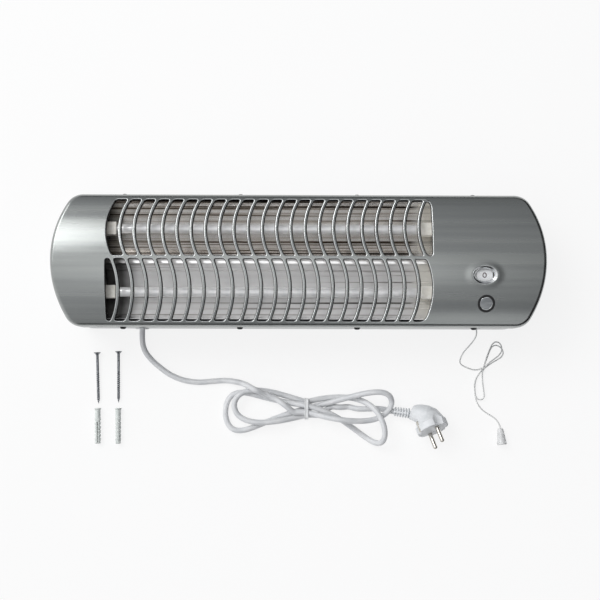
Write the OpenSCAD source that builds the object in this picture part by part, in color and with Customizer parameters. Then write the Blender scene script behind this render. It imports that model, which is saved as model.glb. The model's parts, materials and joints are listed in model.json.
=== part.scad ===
// Wall-mounted electric bar heater: two quartz bars behind a pressed guard, pull-cord switch,
// supply lead with plug, tilting wall bracket and its fixings.
// The heater lies on its back: +Z is the front, +X runs along the bars, +Y is up on the wall.
// The origin is midway between the two wall holes of the bracket, on the wall plane.

/* [Body] */
// Length of the front cover
body_l = 540; // [530:1:560]
// Height of the front cover on the wall
body_h = 147; // [146:1:152]
// Height of the cover's crown above the wall
crown_z = 96; // [94:0.5:100]
// Height of the cover's long edges above the wall
edge_z = 76; // [74:0.5:78]
// Radius of each rounded end of the cover, seen from the front
end_r = 140; // [120:1:160]
// Radius of the four corners of the cover
corner_r = 18; // [12:1:24]
// Thickness of the cover's sheet steel
cover_wall = 1; // [0.8:0.1:1.2]
// Height above the wall where the cover's skirt ends
skirt_z = 52; // [48:1:56]
// Thickness of the tray's sheet steel
tray_wall = 1; // [0.8:0.1:1.2]
// Height of the tray's rim above the wall
tray_h = 73; // [70:0.5:73]
// Clearance all round between the tray and the cover
nest_gap = 0.3; // [0.2:0.05:0.6]

/* [Guard window] */
// Left end of the window
window_x0 = -209.6; // [-212:0.2:-206]
// Right end of the window
window_x1 = 145.2; // [142:0.2:146]
// Top edge of the window
window_y1 = 66.6; // [64:0.2:67]
// Bottom edge of the window
window_y0 = -66.8; // [-67:0.2:-64]
// Height of the middle of the long guard bar
mid_bar_y = 1.5; // [0:0.1:3]
// Width of the long guard bar
mid_bar_w = 4; // [3:0.1:5]
// Number of short guard bars in each row
bar_count = 22; // [14:1:22]
// Distance from one short bar to the next
bar_pitch = 15.55; // [15:0.05:15.6]
// Width of a short bar
bar_w = 3.7; // [3:0.1:4.5]
// Bend radius of the short bars in the upper row
bar_r_upper = 68; // [60:1:80]
// Bend radius of the short bars in the lower row
bar_r_lower = 82; // [70:1:95]

/* [Heating bars] */
// Distance of each quartz tube from the long axis of the heater
tube_y = 35; // [33:0.5:37]
// Height of the quartz tubes above the wall
tube_z = 72; // [68:0.5:74]
// Outer diameter of a quartz tube
tube_d = 10.5; // [9:0.5:12]
// Wall of a quartz tube
tube_wall = 1; // [0.8:0.1:1.5]
// Diameter of the wound element inside a quartz tube
coil_d = 6.4; // [5:0.1:7]
// Left end of the visible quartz
quartz_x0 = -203; // [-206:0.5:-200]
// Right end of the visible quartz
quartz_x1 = 135; // [132:0.5:138]
// Side of the square ceramic end block
ceramic_w = 14; // [13:0.5:16]
// Length of a ceramic end block
ceramic_l = 24; // [22:0.5:28]
// Depth of the quartz inside its end block
ceramic_grip = 5; // [3:0.5:8]
// Inner radius of a reflector trough
trough_r = 33; // [32:0.5:33]
// Thickness of the reflector sheet
trough_wall = 0.5; // [0.4:0.1:0.8]
// Left face of the chamber that the end plates close
chamber_x0 = -214; // [-217:0.5:-213]
// Right face of the chamber
chamber_x1 = 150; // [149:0.5:153]
// Thickness of a chamber end plate
end_plate_t = 1; // [0.8:0.1:1.5]

/* [Pull switch] */
// Middle of the number wheel along the heater
switch_x = 202; // [200:0.5:204]
// Height of the number wheel's axis on the wall
switch_y = -17.1; // [-19:0.1:-15]
// Height of the number wheel's axis above the wall
switch_z = 68; // [67:0.5:68]
// Radius of the number wheel
wheel_r = 24; // [20:0.5:24]
// Width of the number wheel
wheel_w = 18; // [14:0.5:18]
// Diameter of the switch shaft
shaft_d = 6; // [5:0.1:7]
// Number of teeth on the ratchet
ratchet_teeth = 15; // [9:1:18]
// Radius of the ratchet over its teeth
ratchet_r = 12; // [10:0.5:13]
// Length of the lever from the shaft to the cord
lever_r = 31; // [30:0.5:33]
// Thickness of the switch's sheet parts
switch_wall = 1.5; // [1:0.1:2]
// Radial running clearance of everything that turns on a shaft
run_gap = 0.05; // [0.02:0.01:0.1]
// Length of the oval bezel
bezel_l = 27; // [25:0.5:29]
// Height of the oval bezel
bezel_h = 20.7; // [19:0.1:22]
// Width of the bezel's rim
rim_w = 3.5; // [2.5:0.1:4.2]
// Distance of the round badge below the heater's axis
badge_y = -47.8; // [-49:0.1:-46]
// Diameter of the round badge
badge_d = 19; // [16:0.5:21]

/* [Cords] */
// Diameter of the supply lead
lead_d = 6.5; // [6:0.1:7]
// Place of the supply lead along the lower wall
lead_x = -180.5; // [-183:0.5:-178]
// Height of the supply lead above the wall
lead_z = 10; // [9:0.5:12]
// Diameter of the pull cord
pull_d = 1.5; // [1.2:0.1:1.8]
// Length of the conical knob on the pull cord
knob_l = 18.5; // [15:0.5:24]
// Width of the knob's foot
knob_d = 11.4; // [10:0.2:13]

/* [Wall bracket and fixings] */
// Distance between the two wall holes
hole_spacing = 200; // [160:1:230]
// Diameter of a wall hole
hole_d = 5.5; // [4.5:0.1:6.5]
// Length of the bracket
bracket_l = 280; // [276:1:282]
// Height of the bracket's strip on the wall
bracket_h = 24; // [20:0.5:26]
// Thickness of the bracket steel
bracket_t = 2; // [1.5:0.1:2]
// Distance of the tilt hinge below the wall holes
hinge_drop = 30; // [28:0.5:31]
// Height of the tilt hinge above the wall
hinge_z = 6; // [6:0.1:6.5]
// Diameter of a hinge bolt
bolt_d = 5; // [4:0.1:5]
// Clearance between the bracket and its recess in the tray
recess_gap = 0.3; // [0.2:0.05:0.6]
// Diameter of a cover screw's shank
cover_screw_d = 3.2; // [2.8:0.1:3.5]
// Length of a wall screw
wall_screw_l = 60; // [50:1:70]
// Diameter of a wall screw
wall_screw_d = 4; // [3.5:0.1:4.5]
// Length of a wall plug
wall_plug_l = 41; // [38:1:45]
// Diameter of a wall plug
wall_plug_d = 8; // [6:0.5:8]

/* [Plug] */
// Diameter of the plug's face
plug_d = 37; // [35:0.5:38]
// Distance between the plug's two pins
pin_spacing = 19; // [18.8:0.1:19.2]
// Diameter of a pin
pin_d = 4.8; // [4.6:0.1:5]
// Length of a pin
pin_l = 19; // [18:0.5:20]

/* [Hidden] */
$fn = 48;
fine = 160;
touch_gap = 0.05;
seat_gap = 0.3;
press_gap = 0.02;

// Cover: a sheet bent round an axis along X, cut to the rounded outline.
crown_sag = crown_z - edge_z;
front_r = (pow(body_h / 2, 2) + crown_sag * crown_sag) / (2 * crown_sag);
front_axis_z = crown_z - front_r;
end_cx = body_l / 2 - end_r;
corner_y = body_h / 2 - corner_r;
corner_x = end_cx + sqrt(pow(end_r - corner_r, 2) - corner_y * corner_y);
corner_a = atan2(corner_y, corner_x - end_cx);
tray_inset = cover_wall + nest_gap;
tray_in = body_h / 2 - tray_inset - tray_wall;
tray_out = body_h / 2 - tray_inset;

// Guard bars: each row is drawn from the bars' extreme points.
bar_x0 = window_x0 + 14;
upper_bow_y = 33.5;
lower_bow_y = -33;

// Reflector troughs
trough_y = tube_y - 1;
trough_cz = tube_z + 19;
trough_top = 78.5;
ridge_w = 8;

// Chamber end plates and the ends of the tubes
ceramic_x0 = quartz_x0 + 2;
ceramic_x1 = quartz_x1;
terminal_w = 8;
link_x = ceramic_x0 - ceramic_l - terminal_w - 1;

// Switch
wheel_x0 = switch_x - wheel_w / 2;
wheel_x1 = switch_x + wheel_w / 2;
ratchet_t = 4;
ratchet_x = wheel_x0 - 1 - ratchet_t;
hub_x = wheel_x1 + 1;
hub_l = 4;
hub_r = 7;
spring_x = hub_x + hub_l + 0.5;
spring_turns = 4;
spring_pitch = 1.5;
spring_wire = 1;
plate_x0 = ratchet_x - 1.3 - switch_wall;
plate_x1 = spring_x + spring_turns * spring_pitch + 2.2;
plate_y0 = switch_y - 17;
plate_w = 34;
plate_top = 79;
block_w = 17;
foot_y = switch_y;
foot_t = 2;
foot_z = switch_z - lever_r;
foot_half = 6;
slot_w = 3;
blade_t = 0.8;
knot_r = 2.5;
shaft_r = shaft_d / 2;

// Pull cord
pull_r = pull_d / 2;
pull_end_y = -76.5;
bush_bore_r = pull_r + 1;
bush_r = 2.9;
bush_flange_r = 4;

// Supply lead
lead_r = lead_d / 2;
lead_end_y = -22;
lead_out_y = -74.5;
lead_bush_r = 5.5;
lead_flange_r = 7.5;
flange_t = 1.1;
sleeve_l = 30;
clamp_y = -34;
clamp_l = 9;
block_x = lead_x - 19;
block_y = -8;
block_l = 38;
block_d = 20;
block_h = 16;

// Bracket recess
recess_half_x = bracket_l / 2 + recess_gap;
recess_y1 = bracket_h / 2 + 3;
recess_y0 = -hinge_drop - 8;
recess_z = hinge_z + 6;
ear_r = 5;
arm_w = 14;

// Hank of the supply lead: four lobes, each a half turn, that all pass through the tie.
tie_at = [9.5, -164.5];
tie_w = 4.5;
tie_t = 0.8;
tie_room = 0.8;
lobe_reach = [98, 93.5, 89.5, 83];
lobe_half = [14.5, 19, 18, 13];
lobe_full = [0.07, 0.24, 0.18, 0.04];
lobe_centre = [9, -7.5, -32.5, 4.5];
lobe_lean = [-0.4, -1.7, 1.2, 0.8];
lobe_turn = [-1, -1, -1, 1];
waist_step = 3.7;
waist_slot = [-1, 0, 1, 2, -2];
waist_low = 5;
waist_high = 12.7;
lift = [
    [waist_high, 21.5, 16, 10.5, 14, 21, 21, 10.5],
    [waist_low, 5.5, 6, 5, 4, 3.5, 3.5, 6],
    [waist_high, 11.5, 3, 10, 22, 19.5, 10, 3.5],
    [waist_low, 6, 9, 11.5, 11, 11.5, 13, 12.5],
    [waist_low]
];
lobe_rings = 24;
ring_crowd = 0.3;
hank_sides = 6;

// Free stretch of the supply lead, from the housing to the tie
lead_route = [
    [lead_x, lead_out_y, lead_z], [lead_x, lead_out_y - lead_d, lead_z], [-180, -91, 7.4],
    [-177, -100, 4.5], [-170.5, -108.5, 3.3],
    [-161, -117, 3.3], [-148, -126, 3.3], [-133, -132, 3.3], [-115, -134.5, 3.3],
    [-100, -133.5, 3.3], [-85, -132.5, 4],
    [-74, -133.5, 9.5], [-63, -136, 11], [-50, -142.5, 19.5],
    [-38, -148, 14.5], [-26, -153, 13.5], [-15, -160.5, 15.5]
];
// Tail of the supply lead, from the tie to the plug
tail_route = [
    [31, -167, 5.5], [39, -162.5, 4], [48, -163, 5], [58, -162.5, 3.3],
    [69, -164.5, 8.5], [83, -164.5, 7], [94, -164.5, 5], [103, -166, 3.3]
];
relief_at = [111.4, -167.6, 6.5];
neck_at = [129.5, -169.8, 10.8];
plug_at = [154.4, -188.4, 21];
pin_axis = [0.306, -0.871, 0.375];
pin_line = [0.3, 0.463, 0.832];
plug_back = plug_at - 14 * unit(pin_axis);
plug_neck_r = 6.6;

// Pull cord: the hanging stretch, the loops of its bow and the tail with the knob
pull_route = [
    [switch_x, pull_end_y, foot_z], [switch_x, pull_end_y - pull_d, foot_z],
    [201.8, -80.6, 35.6], [201.2, -83.6, 31], [199.4, -88.2, 21.5],
    [196, -93.5, 12], [192.5, -98.5, 5.5], [189.8, -104, 2], [188.4, -109, 0.8],
    [189.2, -112.4, 0.8], [192.5, -114.8, 0.8], [198, -117.4, 0.8], [204.5, -119.3, 0.8],
    [208.5, -119.2, 1.2], [212, -118.4, 2]
];
bow_at = [214.5, -118.6, 2.5];
bow_r = 2.5;
upper_loop = [
    [215.5, -117.3, 3.2], [216.6, -113.6, 3.2], [219.7, -103.6, 3.2], [222.9, -95.8, 3.2],
    [225.7, -90, 3.2], [230, -86.8, 3.2], [234, -88, 3.2], [236.3, -91.2, 3.2],
    [236.9, -95, 3.2], [236.2, -98.6, 3.2], [233, -102.8, 3.2], [227.6, -107, 3.2],
    [222.3, -111, 3.2], [216.2, -117.3, 3.2]
];
under_loop = [
    [215.4, -117.6, 0.8], [217.6, -112, 0.8], [221.2, -102.5, 0.8], [224, -95.6, 0.8],
    [227, -91.8, 0.8], [231.5, -90.8, 0.8], [235.7, -93, 0.8], [238.4, -96.7, 0.8],
    [238.8, -100.6, 0.8], [236.5, -104.5, 0.8], [231.8, -107.6, 0.8], [225.4, -111.4, 0.8],
    [216, -118, 0.8]
];
long_loop = [
    [214.3, -120.4, 3.2], [214, -127.6, 3.2], [214.5, -136, 3.2], [215.6, -144.6, 3.2],
    [216, -149.2, 3.2], [214.6, -152.7, 3.2], [211.3, -153.8, 3.2], [207.6, -152.3, 3.2],
    [205.7, -148.4, 3.2], [205, -142.7, 3.2], [205, -136.2, 3.2], [206.8, -129.5, 3.2],
    [213.4, -119.9, 3.2]
];
knob_at = [234.2, -187, 3.8];
knob_axis = [0.075, -0.991, 0.11];
pull_tail = [
    [213.6, -119.7, 0.9], [207.6, -129, 0.8], [205.6, -137, 0.8], [205.6, -144, 0.8],
    [206.4, -152, 0.8], [208.2, -157.7, 0.8], [212, -163.5, 0.8], [217.9, -168.7, 0.8],
    [223, -171.8, 0.8], [228.2, -175.3, 0.8], [231.8, -179.6, 1.4], [233.4, -183, 2.6],
    knob_at - 1.5 * knob_axis, knob_at
];

// Wires inside the heater
wire_r = 1.1;
wire_floor = tray_wall + wire_r + touch_gap;
wire_way = [20, 22];
wire_y = block_y + block_d + touch_gap;
block_face_x = plate_x0 - block_w - touch_gap;
block_top_y = plate_y0 + plate_w - 2 + touch_gap;
supply_wire = [
    [lead_x + 12, wire_y, 9], [lead_x + 12, wire_y + 5, 9], [-166, 28, 6], [-161, 40, wire_floor],
    [-150, 48, wire_floor], [-136, 50, wire_floor], [0, 50, wire_floor], [chamber_x1 - 8, 50, wire_floor],
    [chamber_x1 + 6, 50, wire_floor], [165, 45, 6], [173, 31, 24], [177, 14, 50], [177.5, 6, 62],
    [177.5, 2.5, 65], [177.5, block_top_y, 65]
];
return_wire = [
    [lead_x - 12, wire_y, 9], [lead_x - 12, wire_y + 4, 9], [-196, 20.5, 11], [-202, 21, 17],
    [-208, wire_way[0], wire_way[1]], [-217, wire_way[0], wire_way[1]], [-223, 15, 34],
    [-226.5, 7, 56], [-228.5, 2.5, 67.5], [-230.7, 1, 72], [link_x + 1 + touch_gap, 1, 72]
];
earth_wire = [
    [lead_x, wire_y, 9], [lead_x, wire_y + 4, 9], [lead_x, 25, 6.2], [lead_x, 33, 3.2],
    [lead_x, 39 - touch_gap, wire_floor + 0.2]
];
upper_wire = [
    [block_face_x, -9, 76], [block_face_x - 2.5, -9, 76], [162, -5, 76.5], [160, 4, 77],
    [160, 14, 76], [161, 23, 73.5], [163, 28, tube_z], [163, tube_y - terminal_w / 2 - touch_gap, tube_z]
];
lower_wire = [
    [block_face_x, -24, 75], [block_face_x - 2.2, -24, 75], [163.6, -25.5, 74.2],
    [163, -28.3, 73], [163, terminal_w / 2 - tube_y + touch_gap, 73]
];
wall_screw_at = [[-233.4, -100], [-208.7, -98.6]];
wall_screw_tip = [[-231.2, -159.9], [-208.1, -160.7]];
wall_plug_at = [[-231.8, -164.5], [-208.2, -164.5]];
wall_plug_tip = [[-231.1, -205.5], [-207.6, -205.5]];
cover_screw_x = [-194.5, -65, 65, 194.5];
cover_screw_z = 62;
cover_screw_l = 7;
cut_h = 10;

// Points of an arc; the last point is left out where the next arc starts on it.
function arc(cx, cy, r, a0, a1, n, last) =
    [for (i = [0 : n - (last ? 0 : 1)]) let (a = a0 + (a1 - a0) * i / n) [cx + r * cos(a), cy + r * sin(a)]];

// Outline of the heater from the front, set in all round by the inset.
function outline(inset) = concat(
    arc(end_cx, 0, end_r - inset, -corner_a, corner_a, 12, false),
    arc(corner_x, corner_y, corner_r - inset, corner_a, 90, 6, true),
    arc(-corner_x, corner_y, corner_r - inset, 90, 180 - corner_a, 6, false),
    arc(-end_cx, 0, end_r - inset, 180 - corner_a, 180 + corner_a, 12, false),
    arc(-corner_x, -corner_y, corner_r - inset, 180 + corner_a, 270, 6, true),
    arc(corner_x, -corner_y, corner_r - inset, 270, 360 - corner_a, 6, false)
);

function oval(a, b) = [for (i = [0 : 47]) [a * cos(i * 7.5), b * sin(i * 7.5)]];

// Rectangle with round corners, given by its half sizes
function round_box(hx, hy, r) = concat(
    arc(hx - r, hy - r, r, 0, 90, 5, true), arc(r - hx, hy - r, r, 90, 180, 5, true),
    arc(r - hx, r - hy, r, 180, 270, 5, true), arc(hx - r, r - hy, r, 270, 360, 5, true)
);

function unit(v) = v / norm(v);

// Direction of a route at its point i: the mean of the stretches that meet there.
function heading(p, i) =
    i == 0 ? unit(p[1] - p[0])
    : i == len(p) - 1 ? unit(p[i] - p[i - 1])
    : unit(unit(p[i + 1] - p[i]) + unit(p[i] - p[i - 1]));

function ring(c, t, r, n, ref) =
    let (s = unit(cross(t, ref)), u = cross(s, t))
    [for (k = [0 : n - 1]) let (a = 360 * (k + 0.5) / n) c + r * (cos(a) * s + sin(a) * u)];

// One closed tube swept along a route
module tube(p, r, n = 8, ref = [0, 0, 1]) {
    m = len(p);
    points = [for (i = [0 : m - 1]) each ring(p[i], heading(p, i), r, n, ref)];
    sides = [for (i = [0 : m - 2], k = [0 : n - 1])
        let (a = i * n + k, b = i * n + (k + 1) % n) each [[a, b, b + n], [a, b + n, a + n]]];
    first = [for (k = [2 : n - 1]) [0, k, k - 1]];
    final = [for (k = [2 : n - 1]) [(m - 1) * n, (m - 1) * n + k - 1, (m - 1) * n + k]];
    polyhedron(points = points, faces = concat(sides, first, final), convexity = 10);
}

// Round bar or cone from one point to another
module rod(a, b, r1, r2) {
    v = b - a;
    translate(a)
        rotate([0, acos(v.z / norm(v)), atan2(v.y, v.x)])
            cylinder(h = norm(v), r1 = r1, r2 = r2);
}

// Round bar along X
module bar_x(x0, x1, y, z, r) {
    translate([x0, y, z]) rotate([0, 90, 0]) cylinder(h = x1 - x0, r = r);
}

// Round bar along Y
module bar_y(y0, y1, x, z, r) {
    translate([x, y1, z]) rotate([90, 0, 0]) cylinder(h = y1 - y0, r = r);
}

// Places its children on the cover's outer face, with Z square to the face
module on_front(x, y) {
    translate([x, 0, front_axis_z])
        rotate([-asin(y / front_r), 0, 0])
            translate([0, 0, front_r]) children();
}

// Solid with the cover's outline and bowed front, smaller all round by the inset
module bowed_solid(inset, z0) {
    intersection() {
        translate([0, 0, z0]) linear_extrude(height = crown_z - z0 + 10) polygon(outline(inset));
        translate([0, 0, front_axis_z]) rotate([0, 90, 0])
            cylinder(h = body_l + 20, r = front_r - inset, center = true, $fn = fine);
    }
}

// One curved guard bar: side -1 bows to the left, side 1 to the right
module guard_bar(x, bow_y, r, side) {
    intersection() {
        translate([x - side * r, bow_y]) difference() {
            circle(r = r + bar_w / 2, $fn = fine);
            circle(r = r - bar_w / 2, $fn = fine);
        }
        translate([x - side * 10 - 14, bow_y - 50]) square([28, 100]);
    }
}

// What lies outside the bowed end of a row of bars
module row_end(x, bow_y, r, side) {
    difference() {
        translate([x - side * 10 - 14, bow_y - 50]) square([28, 100]);
        translate([x - side * r, bow_y]) circle(r = r, $fn = fine);
    }
}

module guard_cells() {
    difference() {
        translate([window_x0, mid_bar_y + mid_bar_w / 2])
            square([window_x1 - window_x0, window_y1 - mid_bar_y - mid_bar_w / 2]);
        row_end(window_x0, upper_bow_y, bar_r_upper, -1);
        for (i = [0 : bar_count - 1])
            guard_bar(bar_x0 + i * bar_pitch, upper_bow_y, bar_r_upper, -1);
    }
    difference() {
        translate([window_x0, window_y0])
            square([window_x1 - window_x0, mid_bar_y - mid_bar_w / 2 - window_y0]);
        row_end(window_x1, lower_bow_y, bar_r_lower, 1);
        for (i = [0 : bar_count - 1])
            guard_bar(bar_x0 + i * bar_pitch, lower_bow_y, bar_r_lower, 1);
    }
}

// Places its children at each cover screw, with Z pointing out of the wall of the skirt
module at_cover_screws(out_y) {
    for (x = cover_screw_x, side = [-1, 1])
        translate([x, side * out_y, cover_screw_z]) rotate([-side * 90, 0, 0]) children();
}

module front_cover() {
    color("dimgray") difference() {
        bowed_solid(0, skirt_z);
        bowed_solid(cover_wall, skirt_z - 1);
        translate([0, 0, edge_z - cut_h]) linear_extrude(height = crown_z) guard_cells();
        on_front(switch_x, switch_y) translate([0, 0, -cut_h / 2]) linear_extrude(height = cut_h)
            polygon(oval(bezel_l / 2 - 1.5, bezel_h / 2 - 1.5));
        at_cover_screws(body_h / 2 - cover_wall - 0.5)
            cylinder(h = cover_wall + 1, r = cover_screw_d / 2 + 0.1);
    }
}

module rear_tray() {
    color("darkgray") difference() {
        union() {
            difference() {
                linear_extrude(height = tray_h) polygon(outline(tray_inset));
                translate([0, 0, tray_wall]) linear_extrude(height = tray_h)
                    polygon(outline(tray_inset + tray_wall));
            }
            translate([-recess_half_x - tray_wall, recess_y0 - tray_wall, 0])
                cube([2 * (recess_half_x + tray_wall), recess_y1 - recess_y0 + 2 * tray_wall,
                    recess_z + tray_wall]);
        }
        translate([-recess_half_x, recess_y0, -1])
            cube([2 * recess_half_x, recess_y1 - recess_y0, recess_z + 1]);
        bar_x(-recess_half_x - 3, recess_half_x + 3, -hinge_drop, hinge_z, bolt_d / 2 + press_gap);
        bar_y(-tray_out - 1, -tray_in + 1, lead_x, lead_z, lead_bush_r + press_gap);
        bar_y(-tray_out - 1, -tray_in + 1, switch_x, foot_z, bush_r + press_gap);
        at_cover_screws(tray_in - 0.5) cylinder(h = tray_wall + 1, r = cover_screw_d / 2 + 0.1);
    }
}

module cover_screws() {
    color("black") at_cover_screws(body_h / 2) union() {
        translate([0, 0, -cover_screw_l]) cylinder(h = cover_screw_l, r = cover_screw_d / 2);
        rotate_extrude() intersection() {
            translate([0, -1.6]) circle(r = 3.8);
            square([3.5, 2.2]);
        }
    }
}

// Trough on the side of the upper bar (1) or the lower bar (-1)
module trough(side) {
    plate_gap = seat_gap;
    x0 = chamber_x0 + end_plate_t + plate_gap;
    x1 = chamber_x1 - end_plate_t - plate_gap;
    translate([x0, 0, 0]) rotate([90, 0, 90]) linear_extrude(height = x1 - x0) intersection() {
        translate([side * trough_y, trough_cz]) difference() {
            circle(r = trough_r + trough_wall, $fn = fine);
            circle(r = trough_r, $fn = fine);
        }
        translate([side * trough_y - 40, 50]) square([80, trough_top - 50]);
    }
}

module reflector_upper() { color("silver") trough(1); }

module reflector_lower() { color("silver") trough(-1); }

// Folded strip that joins the two troughs under the long guard bar
module reflector_ridge() {
    x0 = chamber_x0 + end_plate_t + seat_gap;
    color("silver") translate([x0, -ridge_w / 2, trough_top])
        cube([chamber_x1 - end_plate_t - seat_gap - x0, ridge_w, trough_wall]);
}

// Chamber end plate: a square hole for each ceramic block, a hole and a notch for wires
module end_plate(x) {
    half_y = 66;
    color("silver") difference() {
        intersection() {
            translate([x, -half_y, tray_wall]) cube([end_plate_t, 2 * half_y, crown_z]);
            translate([0, 0, front_axis_z]) rotate([0, 90, 0])
                cylinder(h = body_l, r = front_r - cover_wall - seat_gap, center = true, $fn = fine);
        }
        for (side = [-1, 1])
            translate([x - 1, side * tube_y - ceramic_w / 2 - 0.1, tube_z - ceramic_w / 2 - 0.1])
                cube([end_plate_t + 2, ceramic_w + 0.2, ceramic_w + 0.2]);
        bar_x(x - 1, x + end_plate_t + 1, wire_way[0], wire_way[1], 2.5);
        translate([x - 1, 47, 0]) cube([end_plate_t + 2, 6, 5]);
    }
}

module end_plate_left() { end_plate(chamber_x0); }

module end_plate_right() { end_plate(chamber_x1 - end_plate_t); }

module quartz_tube(side) {
    color("whitesmoke") translate([quartz_x0 - ceramic_grip + 2, side * tube_y, tube_z])
        rotate([0, 90, 0]) difference() {
            cylinder(h = quartz_x1 - quartz_x0 + 2 * ceramic_grip - 2, r = tube_d / 2);
            translate([0, 0, -1])
                cylinder(h = quartz_x1 - quartz_x0 + 2 * ceramic_grip, r = tube_d / 2 - tube_wall);
        }
}

module quartz_tube_upper() { quartz_tube(1); }

module quartz_tube_lower() { quartz_tube(-1); }

// The wound element, with its straight ends through the ceramic blocks
module heating_coil(side) {
    x0 = ceramic_x0 - ceramic_l - terminal_w + 2;
    x1 = ceramic_x1 + ceramic_l + terminal_w - 2;
    color("dimgray") union() {
        bar_x(quartz_x0, quartz_x1, side * tube_y, tube_z, coil_d / 2);
        bar_x(x0, x1, side * tube_y, tube_z, 1);
    }
}

module heating_coil_upper() { heating_coil(1); }

module heating_coil_lower() { heating_coil(-1); }

// Ceramic block, drilled for the tube from one end and for the element's tail
module ceramic(x0, mouth_x, side) {
    color("white") difference() {
        translate([x0, side * tube_y - ceramic_w / 2, tube_z - ceramic_w / 2])
            cube([ceramic_l, ceramic_w, ceramic_w]);
        bar_x(mouth_x - ceramic_grip, mouth_x + ceramic_grip, side * tube_y, tube_z,
            tube_d / 2 + touch_gap);
        bar_x(x0 - 1, x0 + ceramic_l + 1, side * tube_y, tube_z, 1 + touch_gap);
    }
}

module ceramics_left() { for (side = [-1, 1]) ceramic(ceramic_x0 - ceramic_l, ceramic_x0, side); }

module ceramics_right() { for (side = [-1, 1]) ceramic(ceramic_x1, ceramic_x1, side); }

// Screw terminals on the outer ends of the ceramic blocks
module tube_terminals() {
    w = terminal_w;
    for (side = [-1, 1], x = [ceramic_x0 - ceramic_l - w, ceramic_x1 + ceramic_l])
        color("goldenrod") difference() {
            translate([x, side * tube_y - w / 2, tube_z - w / 2]) cube([w, w, w]);
            bar_x(x - 1, x + w + 1, side * tube_y, tube_z, 1 + touch_gap);
            translate([x + w / 2, side * tube_y, tube_z + 1]) cylinder(h = w, r = 1.5);
        }
}

// Strip that joins the two left terminals
module terminal_link() {
    color("goldenrod") translate([link_x, -tube_y - 3, tube_z - 3]) cube([1, 2 * tube_y + 6, 6]);
}

// Disc thermostat on the outside of the right end plate
module thermal_cutout() {
    color("silver") union() {
        bar_x(chamber_x1, chamber_x1 + 5, 0, 46, 8);
        bar_x(chamber_x1 + 4.9, chamber_x1 + 7, 0, 46, 6);
        for (side = [-1, 1]) translate([chamber_x1 + 6.9, side * 3 - 0.4, 43]) cube([6, 0.8, 6]);
    }
}

module indicator_bezel() {
    color("gainsboro") on_front(switch_x, switch_y) difference() {
        union() {
            translate([0, 0, 0.03]) linear_extrude(height = 0.9) polygon(oval(bezel_l / 2, bezel_h / 2));
            translate([0, 0, -2.2]) linear_extrude(height = 2.5)
                polygon(oval(bezel_l / 2 - 1.6, bezel_h / 2 - 1.6));
        }
        translate([0, 0, -3]) linear_extrude(height = 6)
            polygon(oval(bezel_l / 2 - rim_w, bezel_h / 2 - rim_w));
    }
}

module indicator_lens() {
    color("aliceblue", 0.4) on_front(switch_x, switch_y) translate([0, 0, -1.2])
        linear_extrude(height = 1.1)
            polygon(oval(bezel_l / 2 - rim_w - touch_gap, bezel_h / 2 - rim_w - touch_gap));
}

module round_badge() {
    color("dimgray") intersection() {
        on_front(switch_x + 2.3, badge_y) translate([0, 0, -3]) cylinder(h = 6, r = badge_d / 2);
        translate([switch_x - 20, 0, front_axis_z]) rotate([0, 90, 0]) difference() {
            cylinder(h = 40, r = front_r + 0.3, $fn = fine);
            translate([0, 0, -1]) cylinder(h = 42, r = front_r, $fn = fine);
        }
    }
}

// Bent sheet frame that carries the switch shaft, standing on the tray
module switch_frame() {
    color("lightgray") difference() {
        union() {
            translate([plate_x0, plate_y0, tray_wall])
                cube([switch_wall, plate_w, plate_top - tray_wall]);
            translate([plate_x1, plate_y0, tray_wall])
                cube([switch_wall, plate_w, plate_top - tray_wall]);
            translate([plate_x0, plate_y0, tray_wall])
                cube([plate_x1 + switch_wall - plate_x0, plate_w, switch_wall]);
        }
        bar_x(plate_x0 - 1, plate_x1 + switch_wall + 1, switch_y, switch_z, shaft_r + run_gap);
    }
}

// Contact block on the frame, turned by the end of the shaft
module switch_block() {
    color("ivory") difference() {
        translate([plate_x0 - block_w, plate_y0 + 2, 54]) cube([block_w, plate_w - 4, 26]);
        bar_x(plate_x0 - 10, plate_x0 + 1, switch_y, switch_z, shaft_r + run_gap);
    }
}

// Torsion spring wound round the shaft, with one leg in the frame
module return_spring() {
    steps = 12;
    coil_r = shaft_r + 1.6;
    turns = [for (i = [0 : spring_turns * steps])
        [spring_x + 0.6 + i * spring_pitch / steps, switch_y + coil_r * cos(i * 360 / steps),
            switch_z + coil_r * sin(i * 360 / steps)]];
    leg = [[plate_x1 - 1.3, switch_y + coil_r, switch_z + 2.2],
        [plate_x1 - touch_gap, switch_y + coil_r, switch_z + 2.2]];
    color("silver") tube(concat(turns, leg), spring_wire / 2, 6, [1, 0.4, 0.3]);
}

module pull_cord_bush() {
    color("whitesmoke") difference() {
        union() {
            bar_y(-tray_out, -tray_in + 1, switch_x, foot_z, bush_r);
            bar_y(-tray_out - 1.2, -tray_out, switch_x, foot_z, bush_flange_r);
        }
        bar_y(-tray_out - 3, -tray_in + 3, switch_x, foot_z, bush_bore_r);
    }
}

module switch_shaft() {
    color("silver") bar_x(plate_x0 - 9, plate_x1 + switch_wall + 1, switch_y, switch_z, shaft_r);
}

module number_wheel() {
    color("white") difference() {
        bar_x(wheel_x0, wheel_x1, switch_y, switch_z, wheel_r);
        bar_x(wheel_x0 - 1, wheel_x1 + 1, switch_y, switch_z, shaft_r + press_gap);
        for (a = [0 : 72 : 288])
            bar_x(wheel_x0 - 1, wheel_x1 + 1, switch_y + 13 * cos(a), switch_z + 13 * sin(a), 5);
    }
}

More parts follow.
